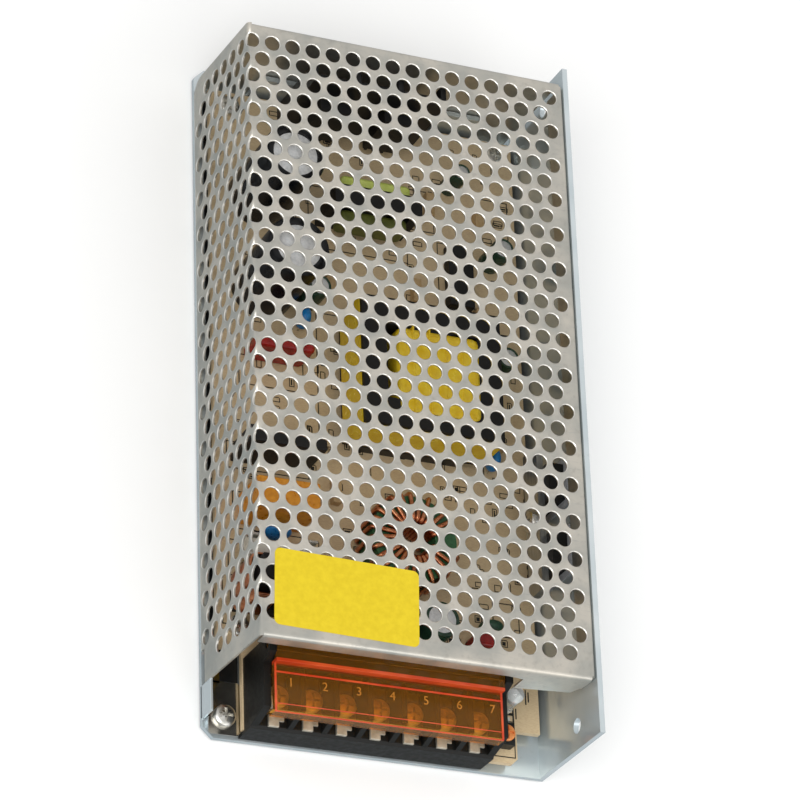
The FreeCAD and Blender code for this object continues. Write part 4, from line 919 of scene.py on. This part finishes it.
# Screen print on the board: outlines and bars as x0, x1, y0, y1; small marks over a field, some filled
boardPrint = {
    "ink": 0.03, "line": 0.3, "patch": (33.0, 37.2, -87.4, -84.9),
    "outlines": [(29.5, 38.5, -96.5, -86.0), (-44.8, -20.5, -69.2, -54.8), (-43.0, -19.0, -52.5, -44.6),
                 (-41.5, -20.5, -41.5, -30.5), (-43.0, -19.0, -24.0, -16.0), (-39.0, -20.0, 1.5, 10.5),
                 (-16.0, 33.0, -16.0, 27.0), (-17.5, 12.5, 47.0, 66.5), (21.5, 32.5, 32.5, 55.5),
                 (12.0, 21.0, 58.0, 71.0), (34.0, 44.0, 58.0, 72.0), (33.5, 41.5, -62.0, -52.0)],
    "bars": [(42.0, 42.4, -80.7, -76.4), (42.8, 43.2, -79.9, -77.0), (38.0, 38.5, -86.1, -81.4),
             (38.9, 39.3, -85.2, -82.2), (36.0, 38.0, -84.4, -83.6), (36.2, 43.0, 29.0, 29.8),
             (14.0, 19.0, 29.0, 29.8), (-18.0, -13.0, 68.5, 69.3), (26.0, 30.5, 24.0, 24.8),
             (18.0, 26.0, -61.0, -60.2), (-12.0, -6.0, -58.0, -57.2), (34.0, 40.0, 6.0, 6.8)],
    "small": 300, "fieldX": (-40, 43), "fieldY": (-74, 88), "sizes": ((2.6, 1.3), (1.3, 2.6), (1.9, 1.9)),
    "stroke": 0.25, "filled": 0.5, "fillLow": 0.5, "fillRight": 0.4, "fillBack": 0.3,
}


def makeBoardPrint():
    a = boardPrint
    low, top, stroke = boardTop, boardTop + a["ink"], a["stroke"]

    def outlineOf(x0, x1, y0, y1, line, past=0.0):
        # four strokes; past is how far the far ones stand outside
        return [slab(x0, x1, y0, y0 + line, low, top), slab(x0, x1, y1 - line + past, y1 + past, low, top),
                slab(x0, x0 + line, y0, y1, low, top), slab(x1 - line + past, x1 + past, y0, y1, low, top)]

    marks = [slab(*bar, low, top) for bar in a["bars"]]
    for outline in a["outlines"]:
        marks += outlineOf(*outline, a["line"])
    for _ in range(a["small"]):
        x, y = random.uniform(*a["fieldX"]), random.uniform(*a["fieldY"])
        length, width = random.choice(a["sizes"])
        marks += outlineOf(x, x + length, y, y + width, stroke, stroke)
        if random.random() < a["filled"]:
            marks.append(slab(x + a["fillLow"], x + length - a["fillRight"],
                              y + a["fillLow"], y + width - a["fillBack"], low, top))
    addPiece("boardPrint", marks, "ink")
    addPiece("printPatch", slab(*a["patch"], low, top), "whiteInk")


makeLabel()
makeScrews()
makeContacts()
makeFlap()
makeUserSide()
print("label, screws, amber cover, lamp and adjuster")
makeCapacitors()
makeChokes()
makeDiscs()
makeSoftBoxes()
makeBoardPrint()
print("parts on the board")


# Camera, in metres: fitted on the photograph's grid of holes, focal length in the picture's own dots
camera = {
    "place": (-0.41717, -0.48744, 0.92865), "right": (0.91409, -0.03303, 0.40416),
    "down": (0.14908, -0.89951, -0.41068), "forward": (0.37711, 0.43565, -0.81731),
    "focal": 4134.0, "picture": 800.0, "sensor": 36.0, "nearest": 0.05,
}


def makeCamera():
    data = bpy.data.cameras.new("camera")
    data.sensor_width = camera["sensor"]
    data.lens = camera["focal"] / camera["picture"] * camera["sensor"]
    data.clip_start = camera["nearest"]
    view = standing("camera", data)
    turn = Matrix((Vector(camera["right"]), -Vector(camera["down"]), -Vector(camera["forward"])))
    view.matrix_world = Matrix.Translation(camera["place"]) @ turn.transposed().to_4x4()
    bpy.context.scene.camera = view


# Studio, in metres and watts: pale floor, a plain world, and soft square lamps with place, width and power;
# no lamp stands where the top would mirror it to the camera
studio = {"floor": 4.0, "floorLevel": -0.0005, "worldLight": 0.66,
          "lamps": {"keyLamp": ((-0.7, -0.5, 1.1), 1.0, 10.0), "fillLamp": ((0.3, -1.1, 0.9), 0.9, 3.0),
                    "sideLamp": ((1.1, -0.4, 0.8), 0.8, 3.0)}}


def makeStudio():
    bpy.context.scene.view_settings.view_transform = "Standard"
    # the world is plain white where it is seen, and gentler where it lights
    world = bpy.data.worlds.new("studio")
    bpy.context.scene.world = world
    world.use_nodes = True
    background = world.node_tree.nodes["Background"]
    background.inputs["Color"].default_value = (1, 1, 1, 1)
    ray = addNode(world, "LightPath")
    seen = addNode(world, "Math", {0: ray.outputs["Is Camera Ray"], 1: ray.outputs["Is Transmission Ray"]},
                   operation="MAXIMUM").outputs[0]
    strength = addNode(world, "MapRange", {"Value": seen, "To Min": studio["worldLight"]}).outputs["Result"]
    feed(world, background, Strength=strength)

    half = studio["floor"] / 2
    corners = [(-half, -half, 0), (half, -half, 0), (half, half, 0), (-half, half, 0)]
    mesh = bpy.data.meshes.new("studioFloor")
    mesh.from_pydata(corners, [], [(0, 1, 2, 3)])
    # matt white paper sweep; seen directly it is plain white, and greyer in what the metal reflects
    paper, shader = newMaterial("whitePaperSweep", Roughness=0.9)
    straight = addNode(paper, "LightPath").outputs["Is Camera Ray"]
    pair = {0: straight, 6: toLinear("AEB3B6"), 7: toLinear("FAFAF9")}
    feed(paper, shader, Base_Color=addNode(paper, "Mix", pair, data_type="RGBA").outputs[2])
    mesh.materials.append(paper)
    floor = standing("studioFloor", mesh)
    floor.location.z = studio["floorLevel"]

    for name, (place, width, power) in studio["lamps"].items():
        data = bpy.data.lights.new(name, "AREA")
        data.size = width
        data.energy = power
        light = standing(name, data)
        light.location = place
        light.rotation_euler = (-Vector(place)).to_track_quat("-Z", "Y").to_euler()


makeCamera()
makeStudio()
print("camera and studio")

# CAD nodes by the finish that they take
nodesByFinish = {
    "chassis": "base_chassis", "label": "cover_label", "film": "insulating_sheet", "board": "circuit_board",
    "screw": "cover_screws board_standoffs inner_screws", "block": "terminal_block",
    "contact": "terminal_contacts terminal_clamps terminal_screws", "amber": "terminal_cover",
    "lamp": "indicator_led", "trimmerBlack": "trimmer_body", "rotorOrange": "trimmer_rotor",
    "ceramic": "fuse_tube", "lead": "fuse_clips", "filmBox": "x_capacitor", "redBox": "film_capacitor",
    "blueDisc": "disc_components", "can": "bulk_capacitors electrolytic_capacitors",
    "ferrite": "line_choke_core driver_transformer_core main_transformer_core",
    "copper": "line_choke_coils output_choke_winding", "powderCore": "output_choke_core",
    "epoxy": "bridge_rectifier switching_transistors output_rectifiers control_chip",
    "anodised": "rear_heatsink", "pad": "insulator_pads", "bar": "clamp_bar", "resistor": "resistors",
    "paleTape": "driver_transformer_coil", "tape": "main_transformer_winding main_transformer_tape",
    "bobbin": "main_transformer_bobbin",
}
for finish, names in nodesByFinish.items():
    for nodeName in names.split():
        for materialSlot in nodes[nodeName].material_slots:
            materialSlot.material = material[finish]
